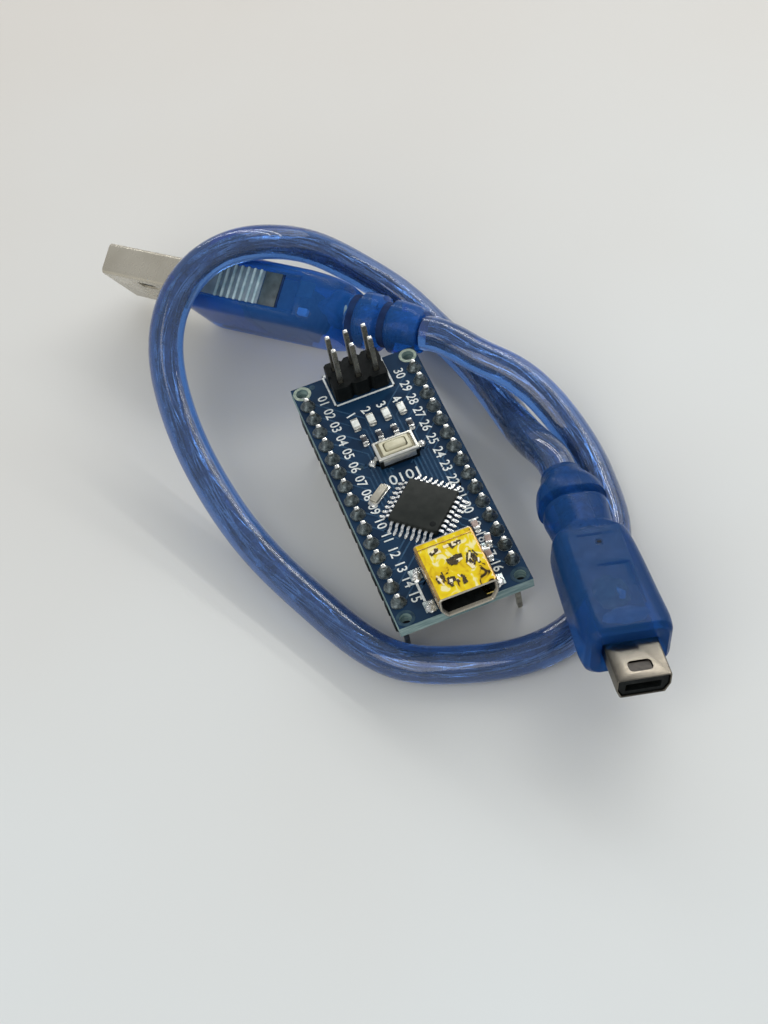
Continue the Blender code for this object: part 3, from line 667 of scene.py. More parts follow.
def dressed(node, finish):
    """Gives a CAD node a better finish."""
    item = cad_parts[node]
    item.data.materials.clear()
    item.data.materials.append(FINISHES[finish])


# ---------------------------------------------------------------- camera, light and floor


def facing(right, up, back):
    """The turn of a camera or a lamp, from its own three axes."""
    return Matrix((right, up, back)).transposed().to_4x4()


def build_camera():
    azimuth = math.radians(CAMERA_AZIMUTH)
    elevation = math.radians(CAMERA_ELEVATION)
    roll = math.radians(CAMERA_ROLL)
    level_out = Vector((math.sin(azimuth), -math.cos(azimuth), 0)) * math.cos(elevation)
    back = level_out + Vector((0, 0, math.sin(elevation)))
    level = Vector((0, 0, 1)).cross(back).normalized()
    rise = back.cross(level)
    right = level * math.cos(roll) + rise * math.sin(roll)
    up = rise * math.cos(roll) - level * math.sin(roll)
    camera = linked("camera", bpy.data.cameras.new("camera"))
    camera.matrix_world = facing(right, up, back)
    camera.location = (Vector(CAMERA_TARGET) + back * CAMERA_DISTANCE) * MM
    camera.data.lens = FOCAL_LENGTH
    camera.data.sensor_fit = "VERTICAL"
    camera.data.sensor_width = SENSOR
    camera.data.sensor_height = SENSOR
    camera.data.clip_start = 0.01
    bpy.context.scene.camera = camera


# Two long tubes overhead, whose lines show in the cable, and two weak windows: the way to each from
# the object, how far in metres, its size, its power, its colour and its long side's turn from +Y.
LAMP_WHITE = (1.0, 0.985, 0.96)
LAMPS = {
    "tube_near": ((0.42, 0.62, 0.66), 1.15, (0.045, 2.4), 3.5, LAMP_WHITE, 25),
    "tube_far": ((0.58, 0.58, 0.57), 1.15, (0.045, 2.4), 2.9, LAMP_WHITE, 25),
    "window_far": ((0.8, 0.45, 0.65), 1.0, (0.9, 0.9), 2.9, LAMP_WHITE, 0),
    "window_near": ((-0.6, -0.5, 0.7), 1.0, (0.9, 0.9), 4.9, (1.0, 0.98, 0.95), 0),
}
SKY_COLOR = (0.90, 0.94, 1.0, 1.0)
SKY_STRENGTH = 0.45


def area_light(name, direction, distance, size, power, color, turn):
    """A rectangular light facing the object."""
    light = bpy.data.lights.new(name, "AREA")
    light.shape = "RECTANGLE"
    light.size, light.size_y = size
    light.energy = power
    light.color = color
    item = linked(name, light)
    away = Vector(direction).normalized()
    heading = Vector((-math.sin(math.radians(turn)), math.cos(math.radians(turn)), 0))
    side = heading.cross(away).normalized()
    item.matrix_world = facing(side, away.cross(side), away)
    item.location = away * distance


def build_lights():
    for name, lamp in LAMPS.items():
        area_light(name, *lamp)
    world = bpy.data.worlds.new("studio")
    world.use_nodes = True
    background = world.node_tree.nodes["Background"]
    background.inputs["Color"].default_value = SKY_COLOR
    background.inputs["Strength"].default_value = SKY_STRENGTH
    bpy.context.scene.world = world
    bpy.context.scene.view_settings.view_transform = "Standard"


def build_floor():
    bm = bmesh.new()
    bmesh.ops.create_grid(bm, x_segments=1, y_segments=1, size=2.0)
    floor = linked("floor", mesh_from(bm, "floor"))
    floor.location = (0, 0, -0.02 * MM)
    floor.data.materials.append(FINISHES["table"])


# ---------------------------------------------------------------- the cable


def natural_spline(points):
    """The second derivatives of a natural cubic spline through points, at chord-length knots."""
    knots = [0.0]
    for first, second in zip(points, points[1:]):
        knots.append(knots[-1] + (second - first).length)
    count = len(points)
    bends = [Vector((0, 0, 0)) for _ in points]
    upper = [0.0] * count
    for i in range(1, count - 1):
        before = knots[i] - knots[i - 1]
        after = knots[i + 1] - knots[i]
        slope_after = (points[i + 1] - points[i]) / after
        slope_before = (points[i] - points[i - 1]) / before
        right_side = 6 * (slope_after - slope_before)
        pivot = 2 * (before + after) - before * upper[i - 1]
        upper[i] = after / pivot
        bends[i] = (right_side - before * bends[i - 1]) / pivot
    for i in range(count - 2, 0, -1):
        bends[i] = bends[i] - upper[i] * bends[i + 1]
    return knots, bends


def spline_point(points, knots, bends, distance):
    i = max(k for k in range(len(knots) - 1) if knots[k] <= distance)
    span = knots[i + 1] - knots[i]
    a = (knots[i + 1] - distance) / span
    b = 1 - a
    bow = ((a**3 - a) * bends[i] + (b**3 - b) * bends[i + 1]) * span**2 / 6
    return a * points[i] + b * points[i + 1] + bow


def cable_line(step):
    """Points along the middle of the cable, from the A plug's relief to the mini plug's."""
    end_a = PLUG_A_LENGTH + JOINT_GAP
    end_mini = PLUG_MINI_LENGTH + JOINT_GAP
    route = [
        PLUG_A @ Vector((0, end_a, 0)),
        PLUG_A @ Vector((0, end_a + CABLE_STRAIGHT, 0)),
        *[Vector(point) for point in CABLE_ROUTE],
        PLUG_MINI @ Vector((0, end_mini + CABLE_STRAIGHT, 0)),
        PLUG_MINI @ Vector((0, end_mini, 0)),
    ]
    knots, bends = natural_spline(route)
    count = round(knots[-1] / step)
    return [spline_point(route, knots, bends, knots[-1] * i / count) for i in range(count + 1)]


JACKET_STEP = 0.8
JACKET_SIDES = 28
CORE_RADIUS = 0.86
CORE_SIDES = 14
CABLE_END_RADIUS = 1.9
CABLE_END_SIDES = 16
BRAID_RADIUS = 0.98
BRAID_STRANDS = 17
BRAID_TURN = (55, 140)
BRAID_WIDTH = (0.05, 0.15)
BRAID_THICKNESS = 0.07


def build_cable():
    """A clear blue jacket over fine tinned wires, which wind both ways round a dark foil core."""
    line = cable_line(JACKET_STEP)
    frames = travel_frames(line)
    jacket = Piece("cable_jacket", "jacket")
    jacket.add(tube(frames, CABLE_DIAMETER / 2, JACKET_SIDES))
    cord = jacket.done(["usb_cable"])

    inner = frames[1:-1]
    core = Piece("cable_foil_core", "core")
    core.add(tube(inner, CORE_RADIUS, CORE_SIDES))
    core.done()

    braid = Piece("cable_braid", "braid")
    dice = random.Random(5)
    for index in range(2 * BRAID_STRANDS):
        way = 1 if index % 2 else -1
        start = 2 * math.pi * (index + 0.6 * dice.random()) / BRAID_STRANDS
        turn_length = way * dice.uniform(*BRAID_TURN)
        width = dice.uniform(*BRAID_WIDTH)
        braid.add(strand(inner, BRAID_RADIUS, start, turn_length, width, BRAID_THICKNESS))
    braid.done()
    return cord, line


# ---------------------------------------------------------------- the plugs


def moulding_rings(sections, step, dent):
    """Close rings through sections along Y, each (y, half width, half thickness, corner)."""
    knots = [section[0] for section in sections]
    count = round((knots[-1] - knots[0]) / step)
    places = np.unique(np.round(np.concatenate([np.linspace(knots[0], knots[-1], count), knots]), 3))
    sizes = [smooth_curve(knots, [section[k] for section in sections], places) for k in (1, 2, 3)]
    rings = []
    for y, half_x, half_z, corner in zip(places, *sizes):
        rings.append([point - dent(point) for point in rounded_ring(half_x, half_z, corner, y)])
    return rings


def moulding(front, offsets, pocket, pocket_end, step, dent):
    """A plug's moulded grip, with the pocket that holds its metal shell."""
    sections = [(front + y, *sizes) for y, *sizes in offsets]
    rings = [
        rounded_ring(*pocket, pocket_end),
        rounded_ring(*pocket, front + 0.15),
        rounded_ring(pocket[0] + 0.15, pocket[1] + 0.15, pocket[2] + 0.15, front),
    ]
    return skin(rings + moulding_rings(sections, step, dent))


def sleeve_outlines(half_x, half_z, corner, sheet):
    corners = [(half_x, -half_z), (half_x, half_z), (-half_x, half_z), (-half_x, -half_z)]
    inner = [(x - math.copysign(sheet, x), z - math.copysign(sheet, z)) for x, z in corners]
    return rounded_outline(corners, corner), rounded_outline(inner, max(corner - sheet, 0.15))


SEAT_GAP = 0.06
GRIP_START = 13.9
GRIP_END = 31.8
GRIP_HALF = 2.75
GRIP_DEPTH = 0.7


def grip_dent(point):
    """The long shallow recess in each narrow side of the A plug."""
    if abs(point.x) < 6.0:
        return Vector((0, 0, 0))
    sunk = within(point.y, GRIP_START, GRIP_END, 0.3, 0.3)
    sunk *= within(point.z, -GRIP_HALF, GRIP_HALF, 0.3, 0.3)
    return Vector((math.copysign(GRIP_DEPTH * sunk, point.x), 0, 0))


# Sections of each moulding: how far behind its front, half width, half thickness and corner.
PLUG_A_SECTIONS = [
    (0.0, 6.8, 3.1, 1.3), (0.4, 7.2, 3.6, 1.8), (1.3, 7.7, 4.1, 2.3), (2.6, 7.9, 4.25, 2.5),
    (18.6, 7.8, 4.2, 2.5), (21.1, 7.3, 4.15, 2.6), (22.9, 6.3, 4.1, 2.8), (24.0, 5.0, 4.0, 3.2),
    (24.5, 3.4, 3.4, 3.3), (26.0, 3.3, 3.3, 3.2), (26.4, 4.0, 4.0, 3.9), (29.0, 3.9, 3.9, 3.8),
    (29.4, 3.1, 3.1, 3.0), (30.6, 3.1, 3.1, 3.0), (31.0, 3.7, 3.7, 3.6), (34.2, 3.4, 3.4, 3.3),
    (35.2, 2.9, 2.9, 2.8),
]
PLUG_MINI_SECTIONS = [
    (0.0, 4.8, 3.2, 1.6), (0.7, 5.4, 3.8, 2.0), (2.5, 5.65, 3.9, 2.2), (6.0, 5.5, 3.9, 2.2),
    (14.0, 5.2, 3.8, 2.2), (17.6, 4.9, 3.7, 2.4), (18.8, 4.2, 3.5, 2.6), (19.2, 3.8, 3.4, 2.8),
    (22.0, 4.0, 3.5, 2.9), (23.8, 4.2, 3.6, 3.0), (24.1, 3.2, 2.9, 2.8), (24.9, 3.2, 2.9, 2.8),
    (25.2, 4.5, 3.7, 3.2), (27.0, 4.3, 3.6, 3.2), (29.2, 3.2, 3.1, 3.0), (30.4, 2.8, 2.8, 2.7),
]


def cable_end(name, plug, start, count):
    """The foil core where it runs on into a plug's moulding."""
    wires = Piece(name, "core")
    line = [plug @ Vector((0, start + JACKET_STEP * step, 0)) for step in range(count)]
    wires.add(tube(travel_frames(line), CABLE_END_RADIUS, CABLE_END_SIDES))
    return wires.done()


def build_plug_a():
    shell_half = (6.0, 2.25)
    shell_length = 22.0
    outer, inner = sleeve_outlines(*shell_half, 0.7, 0.3)
    sleeve = pipe(outer, inner, 0, shell_length, 0.14)
    for side in (-1, 1):
        sleeve = carved(sleeve, block((2.3, 2.6, 6.0), 0.25, at=(side * 3.1, 6.5, 0)))
    shell = Piece("usb_a_sleeve", "nickel")
    shell.add(sleeve)
    for side in (-1, 1):
        for face in (-1, 1):
            bend = [(8.1, 0.35), (6.6, 0.6), (5.4, 0.45)]
            spring = [(side * 3.1, y, face * (shell_half[1] - sunk)) for y, sunk in bend]
            shell.add(ribbon(spring, 1.5, 0.18, ACROSS))
    shell_item = shell.done(["usb_a_shell"], place=PLUG_A)

    insert = Piece("usb_a_tongue", "white_plastic", "gold")
    tongue_width = 2 * shell_half[0] - 1.1
    insert.box((tongue_width, 20.0, 1.8), (0, 10.9, 0.9 - shell_half[1] + 0.45), 0.15)
    insert.box((tongue_width, 8.0, 3.5), (0, 17.3, 0.0), 0.15)
    for x in (-3.5, -1.0, 1.0, 3.5):
        insert.box((1.0, 9.0, 0.12), (x, 6.3, 0.52), 0.04, 1)
    insert_item = insert.done(["usb_a_insert"], place=PLUG_A)

    pocket = (shell_half[0] + SEAT_GAP, shell_half[1] + SEAT_GAP, 0.8)
    pocket_end = shell_length + JOINT_GAP
    grip = Piece("usb_a_moulding", "moulding_a")
    grip.add(moulding(PLUG_A_EXPOSED, PLUG_A_SECTIONS, pocket, pocket_end, 0.4, grip_dent))
    grip_item = grip.done(["usb_a_overmold"], place=PLUG_A, angle=40)

    shades = ["inner_pale", "inner_dark", "inner_teal", "painted_groove_shade", "inner_mist", "painted_glint"]
    inside = Piece("usb_a_inner_moulding", *shades)
    for side in (-1, 1):
        floor = side * (7.85 - GRIP_DEPTH)
        # The last of these strips is painted shade along the dark block's edge.
        for low, high, finish in ((14.2, 26.0, 0), (26.1, 28.7, 1), (28.75, 29.0, 3)):
            size = (0.3, high - low, 2 * GRIP_HALF - 0.7)
            inside.box(size, (floor, (low + high) / 2, 0), 0.08, finish)
        for rib in range(7):
            y = 19.4 + 1.0 * rib
            inside.box((0.42, 0.42, 2 * GRIP_HALF - 0.5), (floor + side * 0.17, y, 0), 0.14, 2)
    inside.box((9.6, 8.0, 4.6), (0, 27.2, 0), 0.3, 1)
    # Painted shade: dark rings in the relief's two grooves.
    for groove, radius in ((25.25, 3.36), (30.0, 3.16)):
        ends = [PLUG_A_EXPOSED + groove - 0.5, PLUG_A_EXPOSED + groove + 0.5]
        inside.add(skin([rounded_ring(radius, radius, radius - 0.1, y) for y in ends]), None, 3)
    inside.add(blob((5.0, 5.5, 4.5), 4.0, 0.4), placed(1.2, 35.6, 0.6), 4)
    # A painted glint: a small bright cyan block inside the moulding.
    inside.box((0.9, 1.5, 1.0), (6.35, 32.8, -2.0), 0.2, 5)
    inside.box((0.4, 2.6, 2.2), (6.85, 32.4, 1.0), 0.14, 1)
    inside_item = inside.done(place=PLUG_A)

    wires_item = cable_end("usb_a_cable_end", PLUG_A, 35.0, 17)
    return [shell_item, insert_item, grip_item, inside_item, wires_item]


USB_MINI_CONTACTS = 5


def mini_corners(width, foot, half, inset=0.0, shoulder=-0.2):
    """The corners of a mini USB mouth in XZ: wide above the shoulder, narrower at the foot."""
    w = width / 2 - inset
    f = foot / 2 - inset
    right = [(f, -half + inset), (w, shoulder), (w, half - inset)]
    return right + [(-x, z) for x, z in reversed(right)]


def within(value, low, high, rise, fall):
    """1 between low and high and 0 outside, sloping over a rise after low and a fall before high."""
    return min(max((value - low) / rise, 0), 1) * min(max((high - value) / fall, 0), 1)


def mini_dent(point):
    """How far the mini plug's upper face is sunk at a point: one panel, and a step before it."""
    if point.z < 2.5:
        return Vector((0, 0, 0))
    window = within(point.y, 6.0, 17.0, 8.0, 0.25) * within(point.x, -4.6, 2.9, 4.5, 0.25)
    step = within(point.y, 17.0, 22.2, 0.25, 0.25) * within(point.x, -3.2, 3.4, 0.4, 1.2)
    return Vector((0, 0, 0.30 * window + 0.14 * step))


def build_plug_mini():
    width, foot, half = 6.8, 5.6, 1.55
    shell_length = 13.0
    outer = rounded_outline(mini_corners(width, foot, half), 0.3)
    inner = rounded_outline(mini_corners(width, foot, half, 0.25), 0.15)
    sleeve = pipe(outer, inner, 0, shell_length, 0.14)
    latch = block((3.0, 1.7, 1.2))
    bmesh.ops.bevel(
        latch,
        geom=[e for e in latch.edges if abs(e.verts[0].co.z - e.verts[1].co.z) > 0.5],
        offset=0.6,
        segments=5,
        affect="EDGES",
        profile=0.5,
    )
    latch.transform(placed(0, 2.0, half))
    shell = Piece("usb_mini_sleeve", "nickel_mini_painted_shade", "latch")
    shell.add(carved(sleeve, latch))
    shell.box((2.8, 1.5, 0.06), (0, 2.0, half - 0.29), finish=1)
    shell_item = shell.done(["usb_mini_shell"], place=PLUG_MINI)

    room = rounded_outline(mini_corners(width, foot, half, 0.35), 0.12)
    body = skin([upright(room, 0.25), upright(room, shell_length - 0.6)])
    insert = Piece("usb_mini_tongue", "black", "gold")
    insert.add(carved(body, block((4.4, 9.0, 1.1), 0.1, at=(0, 1.2, -0.1))))
    for step in range(USB_MINI_CONTACTS):
        insert.box((0.35, 4.5, 0.1), (0.8 * (step - 2), 2.9, 0.38), 0.03, 1)
    insert_item = insert.done(["usb_mini_insert"], place=PLUG_MINI)

    pocket = (width / 2 + SEAT_GAP, half + SEAT_GAP, 0.3)
    pocket_end = shell_length + JOINT_GAP
    grip = Piece("usb_mini_moulding", "moulding_mini")
    grip.add(moulding(PLUG_MINI_EXPOSED, PLUG_MINI_SECTIONS, pocket, pocket_end, 0.25, mini_dent))
    grip_item = grip.done(["usb_mini_overmold"], place=PLUG_MINI, angle=50)

    shades = ["inner_dark", "inner_mist", "inner_teal", "black", "painted_groove_shade", "inner_olive"]
    inside = Piece("usb_mini_inner_moulding", *shades)
    inside.box((7.6, 10.5, 4.4), (0, 19.2, 0), 0.4)
    inside.box((6.8, 7.6, 4.2), (0, 12.6, 0), 0.8)
    inside.add(blob((5.4, 2.6, 1.2), 3.0, 0.3), placed(0.2, 9.0, 2.5), 1)
    inside.add(blob((4.4, 5.4, 1.4), 5.0, 0.4), placed(-0.4, 13.0, 2.45), 5)
    inside.add(blob((1.1, 2.0, 0.6), 7.0, 0.5), placed(0.5, 12.4, 2.95), 2)
    inside.box((0.95, 0.85, 0.3), (0.2, 20.7, 3.53), 0.3, 3)
    # Painted shade: dark strips along the panel's step and edges.
    for width, length, x, y, z in (
        (3.2, 0.3, -0.6, 22.15, 3.56),
        (3.9, 0.32, 0.9, 16.95, 3.44),
        (0.3, 7.2, 2.88, 13.4, 3.5),
    ):
        inside.box((width, length, 0.2), (x, y, z), 0.04, 4)
    inside_item = inside.done(place=PLUG_MINI)

    wires_item = cable_end("usb_mini_cable_end", PLUG_MINI, 24.8, 15)
    return [shell_item, insert_item, grip_item, inside_item, wires_item]


# ---------------------------------------------------------------- the board


CHIP = cad_middle("microcontroller")
CHIP_SIDE = 7.0
LEADS_PER_SIDE = 8
LEAD_PITCH = 0.8
LEAD_REACH = 4.75
TRACE_WIDTH = 0.22
TRACE_PITCH = 0.55
TRACE_TOP = 0.03
PRINT_TOP = 0.05


def lead_offset(index):
    return LEAD_PITCH * (index - (LEADS_PER_SIDE - 1) / 2)


def chip_lead_tips():
    """The end of each chip lead on the board, with the way that it points."""
    tips = []
    for side in range(4):
        way = math.radians(45 + 90 * side)
        out = Vector((math.cos(way), math.sin(way)))
        along = Vector((-out.y, out.x))
        for index in range(LEADS_PER_SIDE):
            tips.append((CHIP.xy + out * LEAD_REACH + along * lead_offset(index), out))
    return tips


def trace_path(start, out, end):
    """A trace that leaves a lead straight, then runs along the board, then turns at 45 degrees."""
    first = start + out * 0.5
    across = abs(end.x - first.x)
    rise = end.y - first.y
    run = max(abs(rise) - across, 0.0)
    elbow = Vector((first.x, first.y + math.copysign(run, rise)))
    reach = min(across, abs(rise))
    corner = elbow + Vector((math.copysign(reach, end.x - elbow.x), math.copysign(reach, rise)))
    return [start, first, elbow, corner, end]


def flat_line(points, width, low, thickness):
    clean = [Vector((*points[0], low))]
    for point in points[1:]:
        spot = Vector((*point, low))
        if (spot - clean[-1]).length > 0.05:
            clean.append(spot)
    return ribbon(clean, width, thickness)


def lay_trace(piece, path, level=BOARD_TOP + TRACE_TOP / 2):
    piece.add(flat_line(path, TRACE_WIDTH, level, TRACE_TOP))


def build_traces():
    """Copper under the mask: a fan from the chip to both pin rows, and runs to the small parts."""
    copper = Piece("board_traces", "trace")
    tips = chip_lead_tips()
    for side in (-1, 1):
        mine = sorted((t for t in tips if side * (t[0].x - CHIP.x) > 0), key=lambda t: -t[0].y)
        for index, (start, out) in enumerate(mine[:PINS_PER_ROW]):
            end = Vector((side * (ROW_X - 0.9), row_y(index)))
            lay_trace(copper, trace_path(start, out, end))
    low, high = cad_box("usb_socket_shell")
    for step in range(5):
        x = -3.2 + TRACE_PITCH * step
        y = low.y + 5.5 + TRACE_PITCH * step
        path = [(x - 2.2, y), (x - 1.2, y), (x + 0.4, y + 1.6), (x + 0.4, high.y + 0.3)]
        lay_trace(copper, path)
    for side in (-1, 1):
        for step in range(3):
            x = side * (1.2 + TRACE_PITCH * step) + 0.4
            y = row_y(6) + 0.4 * step
            path = [(x, y), (x + side * 1.5, y + 1.5), (x + side * 3.0, y + 1.5)]
            lay_trace(copper, path)
    copper.done()


TEST_PADS = [(-6.05, 21.3, 0.42), (-4.67, 5.17, 0.38), (5.9, -12.2, 0.3), (4.9, 8.6, 0.28)]


def ring_pad(inner, outer, low, high, sides=24):
    """A flat ring, with its edges rounded a little."""
    mean = (inner + outer) / 2
    profile = [(inner, low), (outer, low), (outer, high - 0.01), (mean, high), (inner, high - 0.01)]
    return turned(profile, sides, closed=True)


def build_pads():
    """Plated rings round the drilled holes on both faces, and small round pads on the top."""
    pads = Piece("board_pads", "pad", "ring", "ring_green")
    top = BOARD_TOP + 0.04
    under = BOARD_UNDER - 0.04
    for x in ROWS.values():
        for index in range(PINS_PER_ROW):
            place = placed(x, row_y(index))
            pads.add(ring_pad(0.56, 0.95, BOARD_TOP - 0.02, top), place)
            pads.add(ring_pad(0.56, 0.95, under, BOARD_UNDER + 0.02), place)
        for end in (-1, 1):
            place = placed(x, BOARD_Y + end * 8 * PITCH)
            finish = 2 if end > 0 else 1
            pads.add(ring_pad(0.82, 1.22, BOARD_TOP - 0.02, top, 32), place, finish)
            pads.add(ring_pad(0.82, 1.22, under, BOARD_UNDER + 0.02, 32), place, finish)
    for x, y, radius in TEST_PADS:
        pads.add(ring_pad(0.05, radius, BOARD_TOP - 0.02, top), placed(x, y), 1)
    pads.done()


def print_box(piece, low, high, width):
    corners = [Vector(low), Vector((high[0], low[1])), Vector(high), Vector((low[0], high[1]))]
    for first, second in zip(corners, corners[1:] + corners[:1]):
        ahead = (second - first).normalized() * width / 2
        piece.add(flat_line([first - ahead, second + ahead], width, BOARD_TOP + PRINT_TOP / 2, PRINT_TOP))


def build_print():
    """White printing: a number for each pin and light, and outlines round the parts."""
    ink = Piece("board_print", "silk")
    height = BOARD_TOP + PRINT_TOP - 0.012
    for side, x in ROWS.items():
        inward = -math.copysign(2.15, x)
        for index in range(PINS_PER_ROW):
            number = index + 1 if side == "left" else 2 * PINS_PER_ROW - index
            ink.add(lettering(f"{number:02d}", 1.85), placed(x + inward, row_y(index), height, -90))
    low, high = cad_box("program_header_base")
    print_box(ink, (low.x - 0.35, low.y - 0.35), (high.x + 0.35, high.y + 0.35), 0.25)
    for index in range(4):
        light = cad_middle(f"status_led_{index + 1}")
        ink.add(lettering(str(index + 1), 1.9), placed(light.x - 0.1, light.y + 2.0, height, -76))
        ink.add(lettering("102", 1.0), placed(light.x + 0.2, light.y - 2.5, height, -83))
    number = lettering("1010", 2.3)
    ink.add(number, placed(CHIP.x - 0.2, CHIP.y + CHIP_SIDE * math.sqrt(0.5) + 1.5, height, 180))
    low, high = cad_box("usb_socket_shell")
    bar = [(-4.55, low.y + 3.6), (-4.55, high.y - 2.2)]
    ink.add(flat_line(bar, 0.32, BOARD_TOP + PRINT_TOP / 2, PRINT_TOP))
    ink.done()


def solder_cone(seed):
    """The solder round a pin on the top face: a concave cone with an uneven foot."""
    dice = random.Random(seed)
    foot = 0.98 + 0.08 * dice.random()
    rise = 1.2 + 0.2 * dice.random()
    profile = [(0.02, 0.03), (foot, 0.03), (foot * 0.98, 0.2), (foot * 0.86, 0.42), (0.70, 0.68)]
    profile += [(0.56, 0.9), (0.50, rise - 0.12), (0.38, rise), (0.02, rise + 0.02)]
    cone = turned(profile, 18)
    for vertex in cone.verts:
        push = noise.noise(vertex.co * 1.3 + Vector((seed, 2.0 * seed, 0)))
        vertex.co.x += 0.15 * push
        vertex.co.y += 0.17 * noise.noise(vertex.co * 1.1 + Vector((0, seed, seed)))
    return cone


def square_pin(low, high, taper=0.35, half=0.32):
    tip = half * 0.6
    sizes = [(tip, low), (half, low + taper), (half, high - taper), (tip, high)]
    x, y = Vector((-1, 0, 0)), Vector((0, -1, 0))
    return skin([oblong(Vector((0, 0, z)), x * size, y * size) for size, z in sizes])


def pin_meshes(kinds, low, high, cone_base, cone_way):
    """A few versions of a soldered pin, shared by all the pins of a kind."""
    meshes = []
    for seed in range(kinds):
        pin = Piece(f"soldered_pin_{seed}", "pin", "solder", "pin_tip_painted_highlight")
        dice = random.Random(seed + 40)
        pin.add(square_pin(low, high))
        # The cut top, in the brighter copy of the pin metal: a painted highlight.
        pin.box((0.56, 0.56, 0.12), (0, 0, high - 0.02), 0.05, 2)
        cone = solder_cone(seed + 3)
        if cone_way < 0:
            cone.transform(Matrix.Diagonal((1, 1, -1, 1)))
            bmesh.ops.reverse_faces(cone, faces=cone.faces)
        pin.add(cone, placed(0, 0, cone_base, 90 * dice.randrange(4)), 1)
        meshes.append(pin.mesh(40))
    return meshes


def build_pins():
    meshes = pin_meshes(5, 0.0, BOARD_TOP + 1.5, BOARD_TOP, 1)
    dice = random.Random(11)
    for side in ROWS:
        for index in range(PINS_PER_ROW):
            node = f"{side}_header_pin_{index + 1:02d}"
            place_pin(f"{side}_row_pin_{index + 1:02d}", dice.choice(meshes), node)
    low, high = cad_box("program_pin_1")
    meshes = pin_meshes(2, low.z, high.z, BOARD_UNDER, -1)
    for index in range(6):
        node = f"program_pin_{index + 1}"
        place_pin(f"program_header_pin_{index + 1}", dice.choice(meshes), node)


def place_pin(name, mesh, node):
    middle = cad_middle(node)
    item = linked(name, mesh)
    item.location = (middle.x * MM, middle.y * MM, 0)
    settled(item, [node])


def build_chip():
    """The microcontroller: a resin body with a parting line, and bent leads on four sides."""
    place = placed(CHIP.x, CHIP.y, BOARD_TOP, 45)
    body = Piece("microcontroller_body", "chip", "black")
    half = CHIP_SIDE / 2
    steps = [(3.38, 0.15), (half, 0.62), (half, 0.68), (3.4, 1.16), (3.3, 1.2)]
    body.add(skin([level_ring(size, size, 0.22, z, 3, 2) for size, z in steps]))
    dot = [(0.02, 1.17), (0.42, 1.17), (0.42, 1.205), (0.36, 1.215), (0.02, 1.215)]
    body.add(turned(dot), placed(-2.5, -2.5), 1)
    body.done(["microcontroller"], place=place)

    leads = Piece("microcontroller_leads", "lead", "bright_solder")
    bend = [(3.3, 0.66), (3.82, 0.66), (3.98, 0.58), (4.06, 0.4), (4.14, 0.2), (4.28, 0.13), (4.72, 0.13)]
    for side in range(4):
        for index in range(LEADS_PER_SIDE):
            spot = placed(turn=90 * side) @ placed(0, lead_offset(index))
            leads.add(ribbon([(x, 0, z) for x, z in bend], 0.36, 0.15, ALONG), spot)
            foot = blob((0.75, 0.42, 0.2), index + 8 * side, 0.1)
            leads.add(foot, spot @ placed(4.72, 0, 0.08), 1)
    leads.done(place=place)


def build_switch():
    """The reset switch: a black base, a pressed metal frame with a trough, and a cream button."""
    low, high = cad_box("switch_cover")
    middle = (low + high) / 2
    place = placed(middle.x, middle.y, BOARD_TOP)
    width, depth = (high - low).xy
    cover_low = low.z - BOARD_TOP
    base = Piece("switch_case", "black", "steel", "bright_solder")
    case = block((width - 0.15, depth - 0.15, cover_low - 0.15), 0.1, at=(0, 0, cover_low / 2 + 0.02))
    base.add(carved(case, block((3.9, 2.3, 2.0), 0.05, at=(0, 0, 1.5))))
    for side in (-1, 1):
        tab = [(side * 2.5, 0, 0.75), (side * 2.95, 0, 0.72), (side * 3.1, 0, 0.3), (side * 3.5, 0, 0.22)]
        base.add(ribbon(tab, 0.7, 0.15, ALONG), None, 1)
        base.add(blob((0.95, 1.1, 0.6), side + 20, 0.35), placed(side * 3.5, 0.2 * side, 0.22), 2)
    base.done(["switch_base"], place=place)

    cover = Piece("switch_frame", "steel", "trough", "cream")
    rim = block((width, depth, 0.5), 0.16, 3, at=(0, 0, cover_low + 0.27))
    trough = block((width - 0.75, depth - 0.75, 0.5), 0.12, at=(0, 0, cover_low + 0.52))
    floor_ring = block((width - 0.85, depth - 0.85, 0.06), 0.02, at=(0, 0, cover_low + 0.31))
    collar = block((4.0, 2.3, 0.42), 0.16, 3, at=(0, 0, cover_low + 0.5))
    layers = [(carved(rim, trough), 0.0), (floor_ring, 0.05), (collar, 0.05)]
    for finish, (layer, wider) in enumerate(layers):
        opening = block((3.1 + wider, 1.6 + wider, 3.0), 0.3, 3, at=(0, 0, cover_low))
        cover.add(carved(layer, opening), None, finish)
    for side in (-1, 1):
        cover.box((width - 1.1, 0.14, 1.0), (0, side * (depth / 2 - 0.03), cover_low - 0.35), 0.05)
    cover.done(["switch_cover"], place=place)

    low, high = cad_box("reset_button")
    top = high.z - BOARD_TOP
    steps = [(1.8, 0.95, 0.4, 0.88), (1.8, 0.95, 0.4, 1.4), (1.45, 0.68, 0.45, 1.46)]
    steps += [(1.42, 0.66, 0.45, top - 0.42), (1.38, 0.62, 0.42, top - 0.2)]
    steps += [(1.2, 0.5, 0.4, top - 0.03), (1.12, 0.42, 0.35, top)]
    button = Piece("reset_cap", "cream")
    button.add(skin([level_ring(*step, 6, 3) for step in steps]))
    button.done(["reset_button"], "button", place)


SOCKET_WIDTH = 7.7
SOCKET_FOOT = 6.3
FILM_ROWS = 26
FILM_COLUMNS = 24

